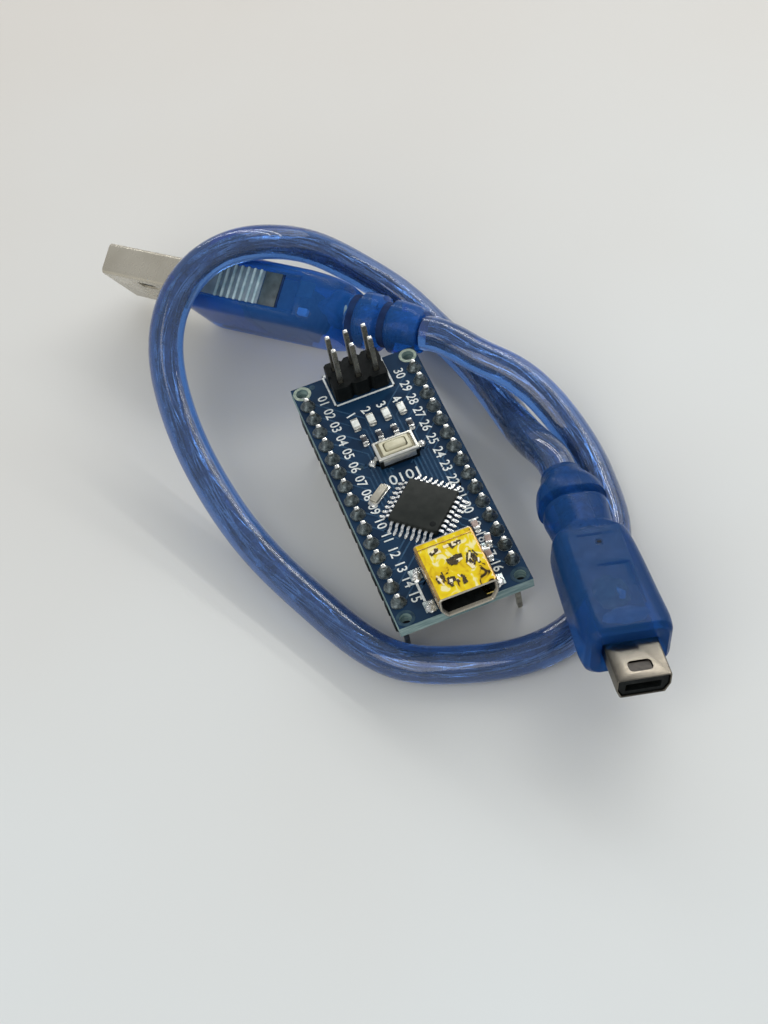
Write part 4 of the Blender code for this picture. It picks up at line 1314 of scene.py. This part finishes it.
# Painted reflections on the socket's film, dark slivers and a few pale ones where its crinkles mirror the
# room: how many, how far across and in front of its back end their middle is, how far they spread both ways,
# and their width and length.
FILM_PAINTED_REFLECTIONS = (
    (16, -0.1, 1.9, 1.8, 0.3, 0.7, 0.45),
    (14, 0.3, 4.2, 0.65, 0.4, 0.9, 0.6),
    (16, 2.3, 5.0, 0.8, 0.9, 0.22, 1.3),
    (8, -2.5, 6.3, 0.5, 0.5, 0.2, 0.9),
    (18, -0.7, 7.3, 1.3, 0.7, 0.3, 0.8),
)


def build_socket():
    """The mini USB socket: a bent shell, amber tape over it, a tongue, and soldered tabs."""
    low, high = cad_box("usb_socket_shell")
    middle = (low.x + high.x) / 2
    base = low.z
    top = high.z
    half = (top - base) / 2
    center = (top + base) / 2
    shoulder = BOARD_TOP + 1.7 - center

    def outline(inset, radius):
        corners = mini_corners(SOCKET_WIDTH, SOCKET_FOOT, half, inset, shoulder)
        return [Vector((p.x + middle, p.y + center)) for p in rounded_outline(corners, radius)]

    shell = Piece("usb_socket_case", "nickel", "bright_solder", "pad")
    shell.add(pipe(outline(0.0, 0.5), outline(0.3, 0.25), low.y, high.y, 0.12))
    wall = outline(0.1, 0.4)
    shell.add(skin([upright(wall, high.y - 0.3), upright(wall, high.y - 0.02)]))
    for side in (-1, 1):
        for y in (low.y + 2.6, high.y - 1.3):
            spot = placed(middle + side * 4.55, y, BOARD_TOP)
            shell.add(block((1.5, 1.7, 0.12), 0.04), spot @ placed(0, 0, 0.09), 2)
            for lump in range(3):
                size = (1.15 - 0.2 * lump, 1.25 - 0.25 * lump, 0.75 - 0.1 * lump)
                shift = placed(-side * 0.15 * lump, 0.45 * (lump - 1), 0.16)
                shell.add(blob(size, 3 * side + lump + y, 0.55), spot @ shift, 1)
    shell.done(["usb_socket_shell"])

    tape = Piece("usb_socket_tape", "tape", "tape_side", "painted_reflection_dark", "painted_reflection_pale")
    reach = SOCKET_WIDTH / 2
    film = []
    for step in range(FILM_ROWS + 1):
        y = low.y + 0.12 + (high.y - low.y - 0.3) * step / FILM_ROWS
        row = []
        for part in range(FILM_COLUMNS + 1):
            x = -reach + 0.25 + (2 * reach - 0.5) * part / FILM_COLUMNS
            crease = noise.noise(Vector((x * 0.55, y * 0.6, 3.0)))
            row.append((middle + x, y, top + 0.03 + 0.05 * abs(crease)))
        film.append(row)
    tape.add(sheet(film))
    dice = random.Random(11)
    # Painted reflections: dark slivers, and a few pale ones, laid on the film.
    for count, x, y, reach_x, reach_y, width, length in FILM_PAINTED_REFLECTIONS:
        for step in range(count):
            size = (width * dice.uniform(0.6, 1.4), length * dice.uniform(0.5, 1.3), 0.03)
            spot = placed(
                middle + x + dice.uniform(-reach_x, reach_x),
                high.y - y + dice.uniform(-reach_y, reach_y),
                top + 0.085 + 0.002 * step,
                dice.uniform(-25, 25),
            )
            tape.add(block(size), spot, 3 if dice.random() < 0.3 else 2)
    tape.box((2 * reach - 0.5, 0.12, 0.06), (middle, high.y - 1.0, top + 0.1), 0.02, 1)
    for side in (-1, 1):
        strip = []
        for angle in range(0, 91, 15):
            turn = math.radians(angle)
            x = middle + side * (reach - 0.28 + 0.32 * math.sin(turn))
            strip.append((x, top - 0.28 + 0.33 * math.cos(turn)))
        strip.append((middle + side * (reach + 0.04), center + shoulder + 0.15))
        flap = sheet([upright(strip, low.y + 0.2), upright(strip, high.y - 0.25)])
        tape.add(flap, None, 1)
    tape.done()

    room = outline(0.42, 0.15)
    tongue = Piece("usb_socket_tongue", "black", "gold")
    tongue.add(pipe(outline(0.31, 0.25), outline(0.40, 0.2), low.y + 0.5, high.y - 0.5, 0.05))
    tongue.add(skin([upright(room, high.y - 2.4), upright(room, high.y - 0.5)]))
    tongue.box((4.4, 6.2, 0.9), (middle, low.y + 4.3, BOARD_TOP + 2.35), 0.1)
    for step in range(USB_MINI_CONTACTS):
        x = middle + 0.8 * (step - 2)
        tongue.box((0.34, 5.6, 0.08), (x, low.y + 4.1, BOARD_TOP + 1.87), 0.02, 1)
    bend = [(2.75, 0.3, 1.35), (2.55, 1.2, 0.9), (2.55, 3.0, 0.45)]
    spring = [(middle + x, low.y + y, base + z) for x, y, z in bend]
    tongue.add(ribbon(spring, 0.9, 0.12, ACROSS), None, 1)
    tongue.done(["usb_socket_insert"])


def chip_part(piece, size, place, body, ends, seed):
    """A small soldered part: a body between two tinned ends on uneven solder."""
    length, width, height = size
    middle = height / 2 + 0.05
    piece.add(block((length * 0.62, width * 0.96, height), 0.04), place @ placed(0, 0, middle), body)
    for side in (-1, 1):
        cap = block((length * 0.22, width, height * 1.02), 0.05)
        piece.add(cap, place @ placed(side * length * 0.4, 0, middle), ends)
        foot = blob((length * 0.38, width * 1.05, height * 0.6), seed + side * 1.7, 0.3)
        piece.add(foot, place @ placed(side * length * 0.52, 0, 0.1), ends)


def build_small_parts():
    for index in range(4):
        node = f"status_led_{index + 1}"
        middle = cad_middle(node)
        light = Piece(f"status_light_{index + 1}", "led", "led_end")
        place = placed(middle.x, middle.y, BOARD_TOP, 90)
        light.add(block((1.15, 0.98, 0.55), 0.12, 3), place @ placed(0, 0, 0.36))
        for side in (-1, 1):
            light.add(block((0.4, 1.0, 0.45), 0.07), place @ placed(side * 0.76, 0, 0.28), 1)
            light.add(blob((0.5, 0.9, 0.3), index + side, 0.4), place @ placed(side * 0.85, 0, 0.1), 1)
        light.done([node])

    chips = Piece("board_resistors", "resistor", "bright_solder")
    for index in range(4):
        x = cad_middle(f"status_led_{index + 1}").x
        chip_part(chips, (1.5, 0.75, 0.42), placed(x + 0.15, 9.2, BOARD_TOP, 90), 0, 1, index)
    chips.done()

    caps = Piece("board_capacitors", "capacitor", "bright_solder")
    spots = [(5.35, -10.4, 90), (6.0, -13.2, 80), (5.2, -15.4, 90)]
    for index, (x, y, turn) in enumerate(spots):
        chip_part(caps, (1.6, 0.8, 0.6), placed(x, y, BOARD_TOP, turn), 0, 1, index + 5)
    caps.done()

    middle = cad_middle("crystal_can")
    place = placed(middle.x, middle.y, BOARD_TOP, 38)
    can = Piece("crystal_case", "can", "bright_solder")
    can.add(block((3.2, 1.35, 0.22), 0.06), place @ placed(0, 0, 0.2), 1)
    can.add(block((2.95, 1.15, 0.6), 0.2, 4), place @ placed(0, 0, 0.5))
    for side in (-1, 1):
        can.add(blob((0.7, 1.3, 0.35), side + 31, 0.4), place @ placed(side * 1.6, 0, 0.12), 1)
    can.done(["crystal_can"])


def build_underside():
    """The parts under the board: the serial chip, the regulator, and the passives round them."""
    middle = cad_middle("usb_serial_chip")
    chip = Piece("serial_chip", "chip", "lead")
    chip.box((3.9, 9.9, 1.3), (middle.x, middle.y, BOARD_UNDER - 0.85), 0.12)
    bend = [(1.9, -0.75), (2.25, -0.72), (2.4, -0.3), (2.5, -0.1), (2.9, -0.08)]
    for side in (-1, 1):
        for index in range(14):
            y = middle.y + 0.65 * (index - 6.5)
            lead = [(middle.x + side * x, y, BOARD_UNDER + z) for x, z in bend]
            chip.add(ribbon(lead, 0.3, 0.13, ALONG), None, 1)
    chip.done(["usb_serial_chip"])

    middle = cad_middle("voltage_regulator")
    regulator = Piece("regulator_case", "chip", "lead", "bright_solder")
    regulator.box((6.4, 3.4, 1.45), (middle.x, middle.y, BOARD_UNDER - 0.88), 0.14)
    regulator.box((3.1, 1.6, 0.2), (middle.x, middle.y - 2.2, BOARD_UNDER - 0.14), 0.04, 1)
    regulator.add(blob((3.4, 0.9, 0.35), 5, 0.3), placed(middle.x, middle.y - 3.0, BOARD_UNDER - 0.1), 2)
    bend = [(1.6, -0.9), (1.95, -0.85), (2.1, -0.3), (2.2, -0.1), (2.7, -0.08)]
    for step in (-1, 0, 1):
        lead = [(middle.x + 2.3 * step, middle.y + reach, BOARD_UNDER + z) for reach, z in bend]
        regulator.add(ribbon(lead, 0.75, 0.16, ACROSS), None, 1)
    regulator.done(["voltage_regulator"])

    flipped = Matrix.Rotation(math.pi, 4, "Y")
    passives = Piece("underside_passives", "capacitor", "bright_solder", "resistor")
    spots = [(-4.3, 3.5, 90), (4.3, 1.0, 90), (4.4, -4.0, 90), (-4.4, -3.0, 90), (-4.5, -9.5, 0)]
    spots += [(4.5, -9.8, 0), (0.0, 6.2, 0), (-2.8, 9.0, 90), (2.6, 9.4, 90), (0.0, 12.0, 0)]
    for index, (x, y, turn) in enumerate(spots):
        place = Matrix.Translation((x, y, BOARD_UNDER)) @ flipped @ placed(turn=turn)
        chip_part(passives, (1.7, 0.9, 0.6), place, 2 * (index % 2), 1, index)
    passives.done()

    runs = Piece("underside_traces", "trace")
    for index in range(1, 11):
        y = row_y(index)
        side = -1 if index % 2 else 1
        path = [(side * 6.7, y), (side * 5.4, y), (side * 3.6, y - 1.8), (side * 2.9, y - 1.8)]
        lay_trace(runs, path, BOARD_UNDER - TRACE_TOP / 2)
    runs.done()


def dress_cad_nodes():
    dressed("circuit_board", "mask")
    for node in ("left_header_strip", "right_header_strip", "program_header_base"):
        dressed(node, "black")


build_camera()
build_lights()
build_floor()
CORD, CORD_LINE = build_cable()
PLUG_PIECES = build_plug_a() + build_plug_mini()
build_traces()
build_pads()
build_print()
build_pins()
build_chip()
build_switch()
build_socket()
build_small_parts()
build_underside()
dress_cad_nodes()
